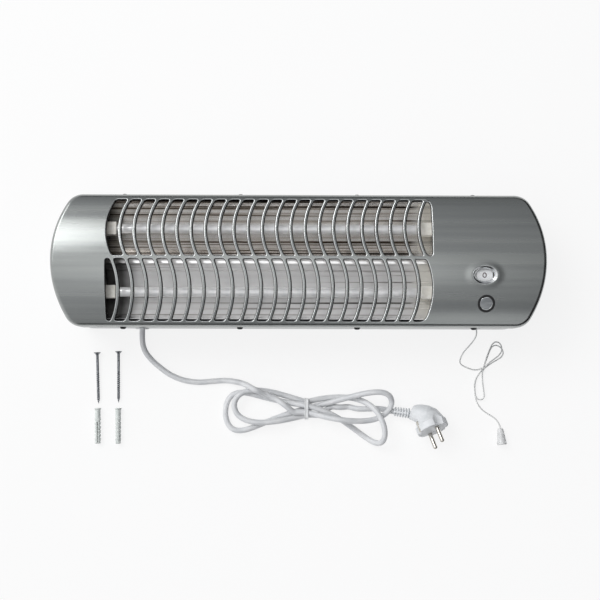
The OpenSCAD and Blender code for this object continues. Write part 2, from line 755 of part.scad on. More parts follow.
// Saw-toothed wheel: each tooth climbs along its back and drops to the root
module ratchet_wheel() {
    step = 360 / ratchet_teeth;
    root_r = ratchet_r - 2.2;
    teeth = [for (i = [0 : ratchet_teeth - 1]) each [
        [ratchet_r * cos(i * step), ratchet_r * sin(i * step)],
        [root_r * cos(i * step + 2), root_r * sin(i * step + 2)]]];
    color("gold") translate([ratchet_x, switch_y, switch_z]) rotate([90, 0, 90])
        linear_extrude(height = ratchet_t) difference() {
            polygon(teeth);
            circle(r = shaft_r + press_gap);
        }
}

// Lever: a hub on the shaft, an arm beside the number wheel and a foot under it
module switch_lever() {
    foot_x0 = ratchet_x;
    arm_t = hub_l - 1;
    color("gold") difference() {
        union() {
            bar_x(hub_x, hub_x + hub_l, switch_y, switch_z, hub_r);
            translate([hub_x + hub_l - arm_t, switch_y - 5, foot_z - foot_half])
                cube([arm_t, 10, lever_r]);
            translate([foot_x0, foot_y - foot_t / 2, foot_z - foot_half])
                cube([hub_x + hub_l - foot_x0, foot_t, foot_half + 3.5]);
        }
        bar_x(hub_x - 1, hub_x + hub_l + 1, switch_y, switch_z, shaft_r + run_gap);
        translate([switch_x - slot_w / 2, foot_y - 5, foot_z - foot_half + 1])
            cube([slot_w, 10, foot_half + 0.5]);
    }
}

// Spring blade on the lever's foot that pushes the ratchet round
module drive_blade() {
    tip_z = switch_z - ratchet_r - 0.4;
    blade_y = foot_y + foot_t / 2 + touch_gap;
    color("silver") union() {
        translate([ratchet_x + 0.5, blade_y, foot_z - foot_half])
            cube([ratchet_t - 1, blade_t, tip_z - foot_z + foot_half]);
        translate([ratchet_x + 0.5, blade_y - 2, tip_z - blade_t])
            cube([ratchet_t - 1, 2 + blade_t, blade_t]);
    }
}

module pull_rod_cord() {
    color("white") bar_y(pull_end_y, switch_y + foot_t / 2 + 1.2, switch_x, foot_z, pull_r);
}

module stop_knot() {
    color("white") translate([switch_x, switch_y + foot_t / 2 + 0.2 + knot_r, foot_z])
        sphere(r = knot_r);
}

module pull_cord() { color("white") tube(pull_route, pull_r); }

module bow_knot() { color("white") translate(bow_at) sphere(r = bow_r); }

module pull_loops() {
    color("white") {
        tube(upper_loop, pull_r);
        tube(under_loop, pull_r);
        tube(long_loop, pull_r);
    }
}

module pull_tail_cord() { color("white") tube(pull_tail, pull_r); }

// Conical knob, hollowed from its foot
module pull_knob() {
    v = unit(knob_axis);
    color("whitesmoke") translate(knob_at + touch_gap * v)
        rotate([0, acos(v.z), atan2(v.y, v.x)]) difference() {
            cylinder(h = knob_l, r1 = 3.3, r2 = knob_d / 2);
            translate([0, 0, 6]) cylinder(h = knob_l, r1 = 3, r2 = knob_d / 2 - 1);
        }
}

module lead_bush() {
    color("white") difference() {
        union() {
            bar_y(-tray_out, -tray_in + 1, lead_x, lead_z, lead_bush_r);
            bar_y(-tray_out - flange_t, -tray_out, lead_x, lead_z, lead_flange_r);
        }
        bar_y(-tray_out - 3, -tray_in + 3, lead_x, lead_z, lead_r + touch_gap);
    }
}

// Tapered sleeve that eases the lead's bend behind the bush
module lead_sleeve() {
    y0 = -tray_in + 1;
    color("white") difference() {
        translate([lead_x, y0, lead_z]) rotate([-90, 0, 0])
            cylinder(h = sleeve_l, r1 = 6.5, r2 = lead_r + 1.2);
        bar_y(y0 - 1, y0 + sleeve_l + 1, lead_x, lead_z, lead_r + touch_gap);
    }
}

module inner_lead() { color("white") bar_y(lead_out_y, lead_end_y, lead_x, lead_z, lead_r); }

module clamp_part(z0, z1) {
    color("ivory") difference() {
        translate([lead_x - 13, clamp_y, z0]) cube([26, clamp_l, z1 - z0]);
        bar_y(clamp_y - 1, clamp_y + clamp_l + 1, lead_x, lead_z, lead_r + touch_gap);
        for (side = [-1, 1]) translate([lead_x + side * 9, clamp_y + clamp_l / 2, z0 - 1])
            cylinder(h = z1 - z0 + 2, r = 1.75 + touch_gap);
    }
}

module clamp_base() { clamp_part(tray_wall, lead_z - 1); }

module clamp_bar() { clamp_part(lead_z + 1, lead_z + 5); }

module clamp_screws() {
    color("silver") for (side = [-1, 1])
        translate([lead_x + side * 9, clamp_y + clamp_l / 2, 0]) union() {
            translate([0, 0, 2.5]) cylinder(h = lead_z + 3, r = 1.75);
            translate([0, 0, lead_z + 5]) cylinder(h = 2, r = 3.2);
        }
}

// Three-way terminal block with its screw wells
module terminal_block() {
    color("ivory") difference() {
        translate([block_x, block_y, tray_wall]) cube([block_l, block_d, block_h]);
        for (i = [-1, 0, 1], y = [5, 15])
            translate([lead_x + i * 12, block_y + y, tray_wall + 7]) cylinder(h = block_h, r = 2.5);
    }
}

module lead_cores() {
    for (i = [-1, 0, 1])
        color("saddlebrown") tube([[lead_x + i * 2, lead_end_y, lead_z],
            [lead_x + i * 2, lead_end_y + 2, lead_z], [lead_x + i * 6, lead_end_y + 7, lead_z],
            [lead_x + i * 10, block_y - 2, lead_z], [lead_x + i * 10, block_y, lead_z]], 0.95);
}

module inner_wires() {
    color("saddlebrown") tube(supply_wire, wire_r, 8, [0.5, -0.3, -0.8]);
    color("steelblue") tube(return_wire, wire_r, 8, [0.5, 0.8, 0.1]);
    color("yellowgreen") tube(earth_wire, wire_r);
    color("saddlebrown") tube(upper_wire, wire_r);
    color("saddlebrown") tube(lower_wire, wire_r);
}

module earth_screw() {
    color("gold") translate([lead_x, 43, tray_wall]) union() {
        cylinder(h = 1, r = 4);
        cylinder(h = 3.5, r = 2);
        translate([0, 0, 1]) cylinder(h = 2.5, r = 3.4);
    }
}

// Strip with the wall holes, an arm at each end and an ear on each arm for the hinge
module wall_bracket() {
    ear_x = bracket_l / 2 - bracket_t;
    color("silver") difference() {
        union() {
            translate([-bracket_l / 2, -bracket_h / 2, 0]) cube([bracket_l, bracket_h, bracket_t]);
            for (side = [-1, 1]) {
                translate([side * (bracket_l - arm_w) / 2 - arm_w / 2, -hinge_drop - ear_r, 0])
                    cube([arm_w, hinge_drop + ear_r, bracket_t]);
                translate([side * (ear_x + bracket_t / 2) - bracket_t / 2, -hinge_drop - ear_r, 0])
                    cube([bracket_t, 2 * ear_r, hinge_z]);
                bar_x(side * (ear_x + bracket_t / 2) - bracket_t / 2,
                    side * (ear_x + bracket_t / 2) + bracket_t / 2, -hinge_drop, hinge_z, ear_r);
            }
        }
        for (side = [-1, 1])
            translate([side * hole_spacing / 2, 0, -1]) cylinder(h = bracket_t + 2, r = hole_d / 2);
        bar_x(-bracket_l / 2 - 1, bracket_l / 2 + 1, -hinge_drop, hinge_z, bolt_d / 2 + run_gap);
    }
}

module hinge_bolts() {
    x = bracket_l / 2 - bracket_t - recess_gap;
    color("silver") for (side = [-1, 1]) mirror([side < 0 ? 1 : 0, 0, 0]) union() {
        bar_x(x - 3, x, -hinge_drop, hinge_z, 3.5);
        bar_x(x - 1, x + bracket_t + 2 * recess_gap + tray_wall + 5, -hinge_drop, hinge_z, bolt_d / 2);
    }
}

module hinge_nuts() {
    x = recess_half_x + tray_wall;
    color("silver") for (side = [-1, 1]) mirror([side < 0 ? 1 : 0, 0, 0]) difference() {
        translate([x, -hinge_drop, hinge_z]) rotate([0, 90, 0]) rotate([0, 0, 30])
            cylinder(h = 4, r = 4.6, $fn = 6);
        bar_x(x - 1, x + 5, -hinge_drop, hinge_z, bolt_d / 2 + press_gap);
    }
}

// Turned shape: its profile starts at point a and runs along the unit vector v
module turned(a, v, profile) {
    translate(a) rotate([0, acos(v.z), atan2(v.y, v.x)]) rotate_extrude() polygon(profile);
}

// Countersunk wood screw, head first
module wall_screw(head, tip) {
    head_r = 4;
    r = wall_screw_d / 2;
    core = r - 0.4;
    pitch = 2.4;
    turns = 14;
    start = wall_screw_l - 5 - turns * pitch;
    a = [head.x, head.y, head_r];
    v = unit([tip.x, tip.y, r + 0.1] - a);
    threads = [for (i = [0 : turns - 1]) each [
        [core, start + i * pitch], [r, start + (i + 0.5) * pitch], [core, start + (i + 0.8) * pitch]]];
    turned(a, v, concat([[0, 0], [head_r, 0], [head_r, 0.3], [core, 2.9]], threads,
        [[core, wall_screw_l - 4.5], [0, wall_screw_l]]));
}

module wall_screws() {
    color("silver") for (i = [0, 1]) wall_screw(wall_screw_at[i], wall_screw_tip[i]);
}

// Nylon plug: a collar, a plain neck, ribs along the split part
module wall_plug(top, tip) {
    r = wall_plug_d / 2;
    neck_r = r - 0.9;
    pitch = 4.6;
    a = [top.x, top.y, r + touch_gap];
    v = unit([tip.x - top.x, tip.y - top.y, 0]);
    ribs = [for (i = [0 : 5]) each [
        [neck_r, 12 + i * pitch], [r, 14.8 + i * pitch], [neck_r, 15.4 + i * pitch]]];
    difference() {
        turned(a, v, concat([[0, 0], [r, 0], [r, 1.5], [neck_r, 1.5]], ribs,
            [[neck_r, wall_plug_l - 1], [neck_r - 0.6, wall_plug_l], [0, wall_plug_l]]));
        turned(a, v, [[0, -1], [2, -1], [1.4, wall_plug_l - 12], [0, wall_plug_l - 11]]);
        translate(a + 28 * v) rotate([0, 0, atan2(v.y, v.x)])
            cube([wall_plug_l - 16, 0.8, 20], center = true);
    }
}

module wall_plugs() {
    color("whitesmoke") for (i = [0, 1]) wall_plug(wall_plug_at[i], wall_plug_tip[i]);
}

module power_cord() { color("white") tube(concat(lead_route, waist_in), lead_r); }

// Smooth curve through the levels b and c at t from 0 to 1, with a before and d after them
function eased(a, b, c, d, t) =
    (2 * b + (c - a) * t + (2 * a - 5 * b + 4 * c - d) * t * t + (3 * b - a - 3 * c + d) * pow(t, 3)) / 2;

// Height of the hank's tube at station q
function level(q) =
    let (all = [for (l = lift) each l], m = len(all) - 1, i = min(m - 1, floor(q)))
    eased(all[max(i - 1, 0)], all[i], all[i + 1], all[min(i + 2, m)], q - i);

// Point of the hank at u lobes from its start
function hank_point(u) =
    let (j = min(3, floor(u)), a = 180 * (u - j), side = j % 2 == 0 ? 1 : -1, e = (1 - cos(a)) / 2)
    [tie_at.x + side * lobe_reach[j] * sin(a),
        tie_at.y + waist_step * (waist_slot[j] * (1 - e) + waist_slot[j + 1] * e)
            + lobe_centre[j] * pow(sin(a), 2) + lobe_lean[j] * sin(3 * a)
            + lobe_turn[j] * lobe_half[j] * (sin(2 * a) - lobe_full[j] * sin(4 * a)),
        level(u * 8)];

// Ring i of the hank, with the rings closer together at the far end of each lobe
function hank_ring(i) =
    let (j = floor(i / lobe_rings), t = i / lobe_rings - j) hank_point(j + t + ring_crowd * sin(360 * t) / 2 / PI);

// Straight runs of one diameter into the waist and out of it
waist_in = [for (i = [2, 1]) tie_end(-i * lead_d - 1, 0)];
waist_out = [for (i = [1, 2]) tie_end(i * lead_d + 1, 4)];
hank_route = concat([waist_in[1], waist_in[1] + [lead_d, 0, 0]],
    [for (i = [1 : 4 * lobe_rings - 1]) hank_ring(i)],
    [waist_out[0] - [lead_d, 0, 0], waist_out[0]]);

// Point on the straight run through the tie at waist k, x from the tie's middle
function tie_end(x, k) = [tie_at.x + x, tie_at.y + waist_step * waist_slot[k], lift[k][0]];

// Least clear distance of the hank's tube to itself, on points at four steps between its rings
function hank_gap(route) =
    let (p = [for (i = [0 : len(route) - 2], t = [0 : 0.25 : 0.75]) route[i] * (1 - t) + route[i + 1] * t],
        run = [for (i = 1, s = 0; i < len(p); s = s + norm(p[i] - p[i - 1]), i = i + 1) s])
    min([for (i = [0 : len(run) - 1], k = [i : len(run) - 1]) if (run[k] - run[i] > 4 * lead_d)
        norm(p[i] - p[k])]) - lead_d;
echo(hank_gap = hank_gap(hank_route));

module cord_hank() { color("white") tube(hank_route, lead_r, hank_sides); }

module cord_tail() {
    out = relief_at - lead_d * unit(neck_at - relief_at);
    color("white") tube(concat(waist_out, tail_route, [out, relief_at]), lead_r);
}

// Flat band round the five strands at the waist of the hank
module cord_tie() {
    half_y = max(waist_slot) * waist_step + lead_r + tie_room;
    z0 = waist_low - lead_r - tie_room;
    z1 = waist_high + lead_r + tie_room;
    color("white") translate([tie_at.x - tie_w / 2, tie_at.y, (z0 + z1) / 2]) rotate([90, 0, 90])
        linear_extrude(height = tie_w) difference() {
            polygon(round_box(half_y + tie_t, (z1 - z0) / 2 + tie_t, 4));
            polygon(round_box(half_y, (z1 - z0) / 2, 3));
        }
}

// Ribbed relief: a core with collars, from the cord to the plug's neck
module plug_relief() {
    v = unit(neck_at - relief_at);
    collars = 6;
    pitch = norm(neck_at - relief_at) / collars;
    back = unit(plug_back - neck_at);
    color("white") difference() {
        union() {
            rod(relief_at, neck_at + v, 4.2, 4.6);
            for (i = [0 : collars - 1])
                rod(relief_at + i * pitch * v, relief_at + (i * pitch + 1.7) * v, 5.3 + 0.15 * i, 5.3 + 0.15 * i);
        }
        rod(neck_at - touch_gap * back, neck_at + 4 * back, plug_neck_r + 1, plug_neck_r + 1);
    }
}

// Places its children in the plug's own frame: Z along the pins, X from one pin to the other
module on_plug() {
    z = unit(pin_axis);
    x = unit(pin_line - (pin_line * z) * z);
    y = cross(z, x);
    multmatrix([
        [x.x, y.x, z.x, plug_at.x], [x.y, y.y, z.y, plug_at.y],
        [x.z, y.z, z.z, plug_at.z], [0, 0, 0, 1]])
        children();
}

// Moulded body: a round face, a tapered back, side grips and the neck of the cable
module plug_body() {
    r = plug_d / 2;
    color("white") difference() {
        union() {
            on_plug() union() {
                translate([0, 0, -9]) cylinder(h = 9, r = r);
                translate([0, 0, -24]) cylinder(h = 15.1, r1 = 12, r2 = r - 1);
            }
            rod(neck_at, plug_back, plug_neck_r, 8.5);
        }
        on_plug() for (side = [-1, 1]) {
            translate([side * (r + 6), 0, -20]) cylinder(h = 30, r = 9);
            translate([-3, side * (r - 1) - 1.6, -14]) cube([6, 3.2, 20]);
        }
        on_plug() for (side = [-1, 1])
            translate([side * pin_spacing / 2, 0, -8]) cylinder(h = 10, r = pin_d / 2 + press_gap);
    }
}

module plug_pins() {
    color("silver") on_plug() for (side = [-1, 1]) translate([side * pin_spacing / 2, 0, -8])
        union() {
            cylinder(h = pin_l + 6, r = pin_d / 2);
            translate([0, 0, pin_l + 5.9]) cylinder(h = 2.1, r1 = pin_d / 2, r2 = pin_d / 2 - 0.9);
        }
}

// Spring strips of the protective earth in the grooves of the plug
module earth_contacts() {
    r = plug_d / 2;
    color("silver") on_plug() for (side = [-1, 1])
        translate([-2, side * (r - 2.2) - 0.4, -13.9]) cube([4, 0.8, 13]);
}

front_cover();
rear_tray();
cover_screws();
reflector_upper();
reflector_lower();
reflector_ridge();
end_plate_left();
end_plate_right();
quartz_tube_upper();
quartz_tube_lower();
heating_coil_upper();
heating_coil_lower();
ceramics_left();
ceramics_right();
tube_terminals();
terminal_link();
thermal_cutout();
indicator_bezel();
indicator_lens();
round_badge();
switch_frame();
switch_block();
return_spring();
pull_cord_bush();
switch_shaft();
number_wheel();
ratchet_wheel();
switch_lever();
drive_blade();
pull_rod_cord();
stop_knot();
pull_cord();
bow_knot();
pull_loops();
pull_tail_cord();
pull_knob();
lead_bush();
lead_sleeve();
inner_lead();
clamp_base();
clamp_bar();
clamp_screws();
terminal_block();
lead_cores();
inner_wires();
earth_screw();
wall_bracket();
hinge_bolts();
hinge_nuts();
wall_screws();
wall_plugs();
power_cord();
cord_hank();
cord_tail();
cord_tie();
plug_relief();
plug_body();
plug_pins();
earth_contacts();
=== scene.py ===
import json
import math

import bmesh
import bpy
from mathutils import Matrix, Vector
from mathutils.geometry import delaunay_2d_cdt

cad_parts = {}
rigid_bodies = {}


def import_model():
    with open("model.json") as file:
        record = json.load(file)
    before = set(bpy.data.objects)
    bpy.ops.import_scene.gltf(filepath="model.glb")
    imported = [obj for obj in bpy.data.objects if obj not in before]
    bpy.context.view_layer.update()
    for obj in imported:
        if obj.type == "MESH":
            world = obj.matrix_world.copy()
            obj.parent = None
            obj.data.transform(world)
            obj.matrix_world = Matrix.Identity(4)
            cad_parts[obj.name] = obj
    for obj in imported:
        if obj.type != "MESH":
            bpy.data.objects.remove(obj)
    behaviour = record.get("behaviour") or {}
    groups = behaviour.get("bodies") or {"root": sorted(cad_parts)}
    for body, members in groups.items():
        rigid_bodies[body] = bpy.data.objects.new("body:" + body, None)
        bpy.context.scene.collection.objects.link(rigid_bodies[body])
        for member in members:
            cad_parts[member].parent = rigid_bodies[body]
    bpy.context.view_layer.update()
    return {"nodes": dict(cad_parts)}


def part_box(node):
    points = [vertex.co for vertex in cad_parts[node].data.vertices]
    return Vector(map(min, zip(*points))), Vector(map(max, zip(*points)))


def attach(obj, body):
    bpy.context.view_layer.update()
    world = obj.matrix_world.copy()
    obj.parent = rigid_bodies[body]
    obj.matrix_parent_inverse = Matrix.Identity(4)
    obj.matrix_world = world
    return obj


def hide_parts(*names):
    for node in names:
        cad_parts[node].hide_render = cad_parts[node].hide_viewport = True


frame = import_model()
print("stage: frame loaded")

mm = 0.001  # every size below is in millimetres, in the frame of the CAD


# colours and nodes
def linearColour(hexCode):
    parts = [int(hexCode[i:i + 2], 16) / 255 for i in (1, 3, 5)]
    linear = [p / 12.92 if p <= 0.04045 else ((p + 0.055) / 1.055) ** 2.4 for p in parts]
    return (*linear, 1.0)


def addNode(tree, kind, settings=None, links=None):
    node = tree.nodes.new(kind)
    for key, value in (settings or {}).items():
        if isinstance(key, int) or key in node.inputs:
            node.inputs[key].default_value = value
        else:
            setattr(node, key, value)
    for key, socket in (links or {}).items():
        tree.links.new(socket, node.inputs[key])
    return node


def perGrain(size):  # texture scale for a grain of this many millimetres
    return 1 / (size * mm)


def startMaterial(name, settings):
    material = bpy.data.materials.new(name)
    material.use_nodes = True
    tree = material.node_tree
    tree.nodes.clear()
    shader = addNode(tree, "ShaderNodeBsdfPrincipled", settings)
    addNode(tree, "ShaderNodeOutputMaterial", None, {"Surface": shader.outputs["BSDF"]})
    return material, tree, shader


def noise(tree, spot, size, detail, more=None):
    settings = {"Scale": perGrain(size), "Detail": detail, **(more or {})}
    return addNode(tree, "ShaderNodeTexNoise", settings, {"Vector": spot}).outputs["Fac"]


def colourRamp(tree, source, stops):
    node = addNode(tree, "ShaderNodeValToRGB", None, {"Fac": source})
    elements = node.color_ramp.elements
    while len(elements) < len(stops):
        elements.new(0.5)
    for element, (place, colour) in zip(elements, stops):
        element.position = place
        element.color = linearColour(colour)
    return node.outputs["Color"]


def layColour(tree, base, tone, share):  # one colour over another, as far as the share says
    mixed = addNode(tree, "ShaderNodeMix", {"data_type": "RGBA", 7: linearColour(tone)},
                    {0: share, 6: base})
    return mixed.outputs[2]


# Colour, gloss and relief of a material. The gloss follows a texture over the span of its values,
# and the relief is the texture of its height, its strength and its depth in millimetres.
def dress(tree, shader, colour, glossBy, gloss, span=(0.3, 0.7), relief=None):
    tree.links.new(colour, shader.inputs["Base Color"])
    level = addNode(tree, "ShaderNodeMapRange", {"From Min": span[0], "From Max": span[1],
                                                 "To Min": gloss[0], "To Max": gloss[1]},
                    {"Value": glossBy})
    tree.links.new(level.outputs["Result"], shader.inputs["Roughness"])
    if relief:
        height, strength, depth = relief
        bump = addNode(tree, "ShaderNodeBump", {"Strength": strength, "Distance": depth * mm},
                       {"Height": height})
        tree.links.new(bump.outputs["Normal"], shader.inputs["Normal"])


# Colour patches, uneven gloss and fine relief that every solid finish has. A finish may also lay a
# painted highlight along bends and lips, and painted shade on the steep flanks of cut edges.
def makeFinish(name, look):
    material, tree, shader = startMaterial(name, look["shader"])
    place = addNode(tree, "ShaderNodeTexCoord").outputs["Object"]
    drawn = addNode(tree, "ShaderNodeMapping", {"Scale": look.get("drawn", (1, 1, 1))},
                    {"Vector": place}).outputs["Vector"]
    patches = noise(tree, drawn, look["patch"], 5.0)
    colour = colourRamp(tree, patches, [(0.36, look["colours"][0]), (0.64, look["colours"][1])])
    # lays the painted highlight and the painted shade over the colour, as far as the mesh's shares
    # say
    for tone in ("worn", "scorched"):
        if tone in look:
            where = addNode(tree, "ShaderNodeAttribute", {"attribute_name": tone})
            colour = layColour(tree, colour, look[tone], where.outputs["Fac"])
    grain = noise(tree, drawn, look["grain"], 3.0)
    dress(tree, shader, colour, patches, look["gloss"], relief=(grain, look["relief"], 0.1))
    return material


finishes = {
    # Sheet steel under silver lacquer, brushed along the heater: fine lines, a soft and wide gloss
    "silverLacquer": {"shader": {"Metallic": 0.92}, "colours": ("#888b8a", "#949795"), "patch": 11,
                      "drawn": (0.02, 1, 1), "gloss": (0.22, 0.29), "grain": 0.9, "relief": 0.22,
                      # the light tone is a painted highlight on bends and lips, the black tone
                      # painted shade on the lip flanks
                      "worn": "#d6d8d8", "scorched": "#161616"},
    # Zinc-plated steel as it comes off the press: a bluish patchy grey, half matt
    "zincSteel": {"shader": {"Metallic": 1.0}, "colours": ("#a6a9ab", "#b3b5b6"), "patch": 14,
                  "gloss": (0.3, 0.46), "grain": 0.8, "relief": 0.25},
    # Black oxide on small machine screws: dark, with an oily gloss that gives small hard lights
    "blackOxide": {"shader": {"Metallic": 0.6}, "colours": ("#101112", "#1d1f20"), "patch": 2.5,
                   "gloss": (0.1, 0.18), "grain": 0.4, "relief": 0.15},
    # Steatite, pressed and fired: warm white, chalky, with fine pits
    "steatite": {"shader": {"IOR": 1.6}, "colours": ("#ebe8de", "#f7f5ee"), "patch": 4,
                 "gloss": (0.55, 0.7), "grain": 0.35, "relief": 0.4},
    # Rolled brass strip: yellow metal, a little tarnished
    "rolledBrass": {"shader": {"Metallic": 1.0}, "colours": ("#a98844", "#cfae64"), "patch": 4,
                    "gloss": (0.22, 0.38), "grain": 0.6, "relief": 0.2},
    # Kanthal wire, wound and oxidised: dark grey-brown, matt
    "oxidisedWire": {"shader": {"Metallic": 0.8}, "colours": ("#3a3531", "#59524b"), "patch": 2,
                     "gloss": (0.45, 0.6), "grain": 0.4, "relief": 0.4},
    # ABS under vacuum chrome: a bright mirror with the mould's slight waves
    "chromedAbs": {"shader": {"Metallic": 1.0}, "colours": ("#c9cccd", "#e4e6e6"), "patch": 8,
                   "gloss": (0.06, 0.12), "grain": 3.0, "relief": 0.1},
    # Polyamide, moulded: ivory, satin, faint flow marks
    "ivoryPolyamide": {"shader": {"IOR": 1.53}, "colours": ("#d9d2bd", "#e6e0cf"), "patch": 7,
                       "gloss": (0.38, 0.5), "grain": 0.6, "relief": 0.15},
    # ABS, moulded: clean white with a soft gloss
    "whiteAbs": {"shader": {"IOR": 1.53}, "colours": ("#dfe1e2", "#eaebeb"), "patch": 9,
                 "gloss": (0.3, 0.4), "grain": 0.7, "relief": 0.12},
    # Tempered spring steel: grey-blue, smooth drawn surface
    "springSteel": {"shader": {"Metallic": 1.0}, "colours": ("#74787c", "#92969a"), "patch": 3,
                    "gloss": (0.2, 0.32), "grain": 0.5, "relief": 0.15},
    # PVC sheath, extruded: cool white, satin, with the extruder's long faint waves
    "extrudedPvc": {"shader": {"IOR": 1.54}, "colours": ("#d6d8da", "#e3e4e5"), "patch": 11,
                    "gloss": (0.32, 0.42), "grain": 1.2, "relief": 0.12},
    # Soft PVC, moulded round the plug: cool white, fine spark-eroded texture
    "mouldedPvc": {"shader": {"IOR": 1.54}, "colours": ("#dfe2e4", "#e9ebed"), "patch": 8,
                   "gloss": (0.42, 0.52), "grain": 0.45, "relief": 0.2},
    # Nickel-plated brass, turned: bright and slightly warm
    "nickelPlate": {"shader": {"Metallic": 1.0}, "colours": ("#b4b0a8", "#d5d2cc"), "patch": 3,
                    "gloss": (0.1, 0.2), "grain": 0.5, "relief": 0.12},
    # Zinc-plated wood screw: grey, brighter on the crests
    "platedScrew": {"shader": {"Metallic": 1.0}, "colours": ("#6b6e72", "#9ea1a5"), "patch": 1.6,
                    "gloss": (0.22, 0.38), "grain": 0.4, "relief": 0.25},
    # Nylon wall plug, moulded: greenish grey-white, a little waxy
    "waxyNylon": {"shader": {"IOR": 1.53, "Subsurface Weight": 0.15,
                             "Subsurface Radius": (0.002, 0.002, 0.002)},
                  "colours": ("#d3d9d6", "#e2e6e3"), "patch": 5, "gloss": (0.4, 0.5),
                  "grain": 0.5, "relief": 0.15},
    # Printing ink on the badge's rim: flat and dark, with a satin coat
    "darkInk": {"shader": {"IOR": 1.5}, "colours": ("#0c0c0d", "#161617"), "patch": 3,
                "gloss": (0.35, 0.45), "grain": 0.5, "relief": 0.05},
    # Ink of the figures on the wheel: a very dark red
    "redInk": {"shader": {"IOR": 1.5}, "colours": ("#2c0a11", "#3a1018"), "patch": 2,
               "gloss": (0.4, 0.5), "grain": 0.5, "relief": 0.05},
    # Aluminium foil of the badge, brushed along the heater
    "badgeFoil": {"shader": {"Metallic": 0.9}, "colours": ("#8f9294", "#a6a9aa"), "patch": 3,
                  "drawn": (0.2, 1, 1), "gloss": (0.3, 0.4), "grain": 0.4, "relief": 0.15},
    # Wire insulation in brown, blue and green-yellow: extruded PVC, glossy
    "brownPvc": {"shader": {"IOR": 1.54}, "colours": ("#4a2c1a", "#5e3a24"), "patch": 5,
                 "gloss": (0.3, 0.4), "grain": 0.6, "relief": 0.1},
    "bluePvc": {"shader": {"IOR": 1.54}, "colours": ("#2b5a94", "#386aa8"), "patch": 5,
                "gloss": (0.3, 0.4), "grain": 0.6, "relief": 0.1},
    "greenYellowPvc": {"shader": {"IOR": 1.54}, "colours": ("#5d8a2f", "#d0c436"), "patch": 3,
                       "drawn": (0.2, 1, 1), "gloss": (0.3, 0.4), "grain": 0.6, "relief": 0.1},
}
materials = {name: makeFinish(name, look) for name, look in finishes.items()}


# Bright-rolled aluminised steel: roll marks draw its shine out into long streaks along the bars,
# and their colours, from near black to white, are painted reflections. A painted dark reflection
# darkens the end by the leads, and a painted bright reflection lightens the far end.
def makeBrightSheet(name, look):
    material, tree, shader = startMaterial(name, {"Metallic": look["metallic"]})
    place = addNode(tree, "ShaderNodeTexCoord").outputs["Object"]
    drawn = addNode(tree, "ShaderNodeMapping", {"Scale": look["drawn"]},
                    {"Vector": place}).outputs["Vector"]
    rollMarksAndReflections = noise(tree, drawn, look["streak"], 6.0, {"Roughness": 0.62})
    colour = colourRamp(tree, rollMarksAndReflections, look["stops"])
    parts = addNode(tree, "ShaderNodeSeparateXYZ", None, {"Vector": place})
    # painted dark reflection towards the end by the leads, painted bright reflection towards the
    # far end
    for (x0, x1, share), tone in zip(look.get("ends", ()), ("#1d1a17", "#fcfbf8")):
        reach = addNode(tree, "ShaderNodeMapRange",
                        {"From Min": x0 * mm, "From Max": x1 * mm, "To Max": share},
                        {"Value": parts.outputs["X"]})
        colour = layColour(tree, colour, tone, reach.outputs["Result"])
    dress(tree, shader, colour, rollMarksAndReflections, (0.3, 0.12), relief=(rollMarksAndReflections, 0.5, 0.12))
    return material


brightSheets = {
    # the dark and pale stops of the streaks are painted reflections, and ends lays painted
    # reflection over stretches of x
    "brightSheetUpper": {"metallic": 0.8, "drawn": (0.006, 1, 1), "streak": 3.6,
                         "ends": [(-196, -211, 0.6), (124, 134, 0.7)],
                         "stops": [(0.39, "#0a0806"), (0.43, "#5d5046"), (0.475, "#c9c1b7"),
                                   (0.53, "#f3f0ec"), (0.62, "#ffffff")]},
    "brightSheetLower": {"metallic": 0.6, "drawn": (0.006, 1, 1), "streak": 3.6,
                         "ends": [(-178, -196, 0.85), (124, 134, 0.9)],
                         "stops": [(0.34, "#1f1d1b"), (0.38, "#b9b6b2"), (0.42, "#f6f5f4"),
                                   (0.6, "#fdfdfd"), (0.74, "#ffffff")]},
    # Bare inner sides and end plates: half matt, without the streaks
    "brightSheetPlain": {"metallic": 0.25, "drawn": (1, 1, 1), "streak": 14,
                         "stops": [(0.3, "#e9e7e1"), (0.5, "#f4f2ee"), (0.7, "#fbfaf7")]},
}
for name, look in brightSheets.items():
    materials[name] = makeBrightSheet(name, look)


# Milky or clear stuff whose colour and gloss follow one soft haze
def makeHazy(name, look):
    material, tree, shader = startMaterial(name, look["shader"])
    place = addNode(tree, "ShaderNodeTexCoord").outputs["Object"]
    haze = noise(tree, place, look["grain"], look["detail"])
    source = haze
    if "turns" in look:  # faint rings from the drawing of the tube
        rings = addNode(tree, "ShaderNodeTexWave", {"Scale": perGrain(64), "Distortion": 1.5,
                                                    "bands_direction": "X"}, {"Vector": place})
        source = addNode(tree, "ShaderNodeMix", {"data_type": "FLOAT", 0: look["turns"]},
                         {2: haze, 3: rings.outputs["Fac"]}).outputs[0]
    colour = colourRamp(tree, source, look["stops"])
    dress(tree, shader, colour, haze, look["gloss"], look["span"])
    return material


hazyFinishes = {
    # Fused quartz with a satin etch: milky white, with a thin sheen that mirrors the guard
    "etchedQuartz": {"shader": {"Metallic": 0.15}, "grain": 6, "detail": 4.0, "turns": 0.22,
                     "stops": [(0.32, "#f0f1f1"), (0.62, "#ffffff")], "gloss": (0.14, 0.24),
                     "span": (0.3, 0.7)},
    # Polycarbonate window over the number wheel: clear, polished, faint moulding waves
    "clearPolycarbonate": {"shader": {"IOR": 1.58, "Transmission Weight": 0.3, "Alpha": 0.07},
                           "grain": 9, "detail": 2.0, "stops": [(0.3, "#eef1f2"), (0.7, "#fafbfb")],
                           "gloss": (0.02, 0.06), "span": (0, 1)},
    # Polypropylene knob: milky and slightly see-through, with a moulded satin skin
    "milkyPolypropylene": {"shader": {"IOR": 1.49, "Transmission Weight": 0.2,
                                      "Subsurface Weight": 0.4,
                                      "Subsurface Radius": (0.003, 0.003, 0.003)},
                           "grain": 5, "detail": 3.0,
                           "stops": [(0.35, "#ebecec"), (0.65, "#f8f9f9")],
                           "gloss": (0.28, 0.42), "span": (0, 1)},
}
for name, look in hazyFinishes.items():
    materials[name] = makeHazy(name, look)


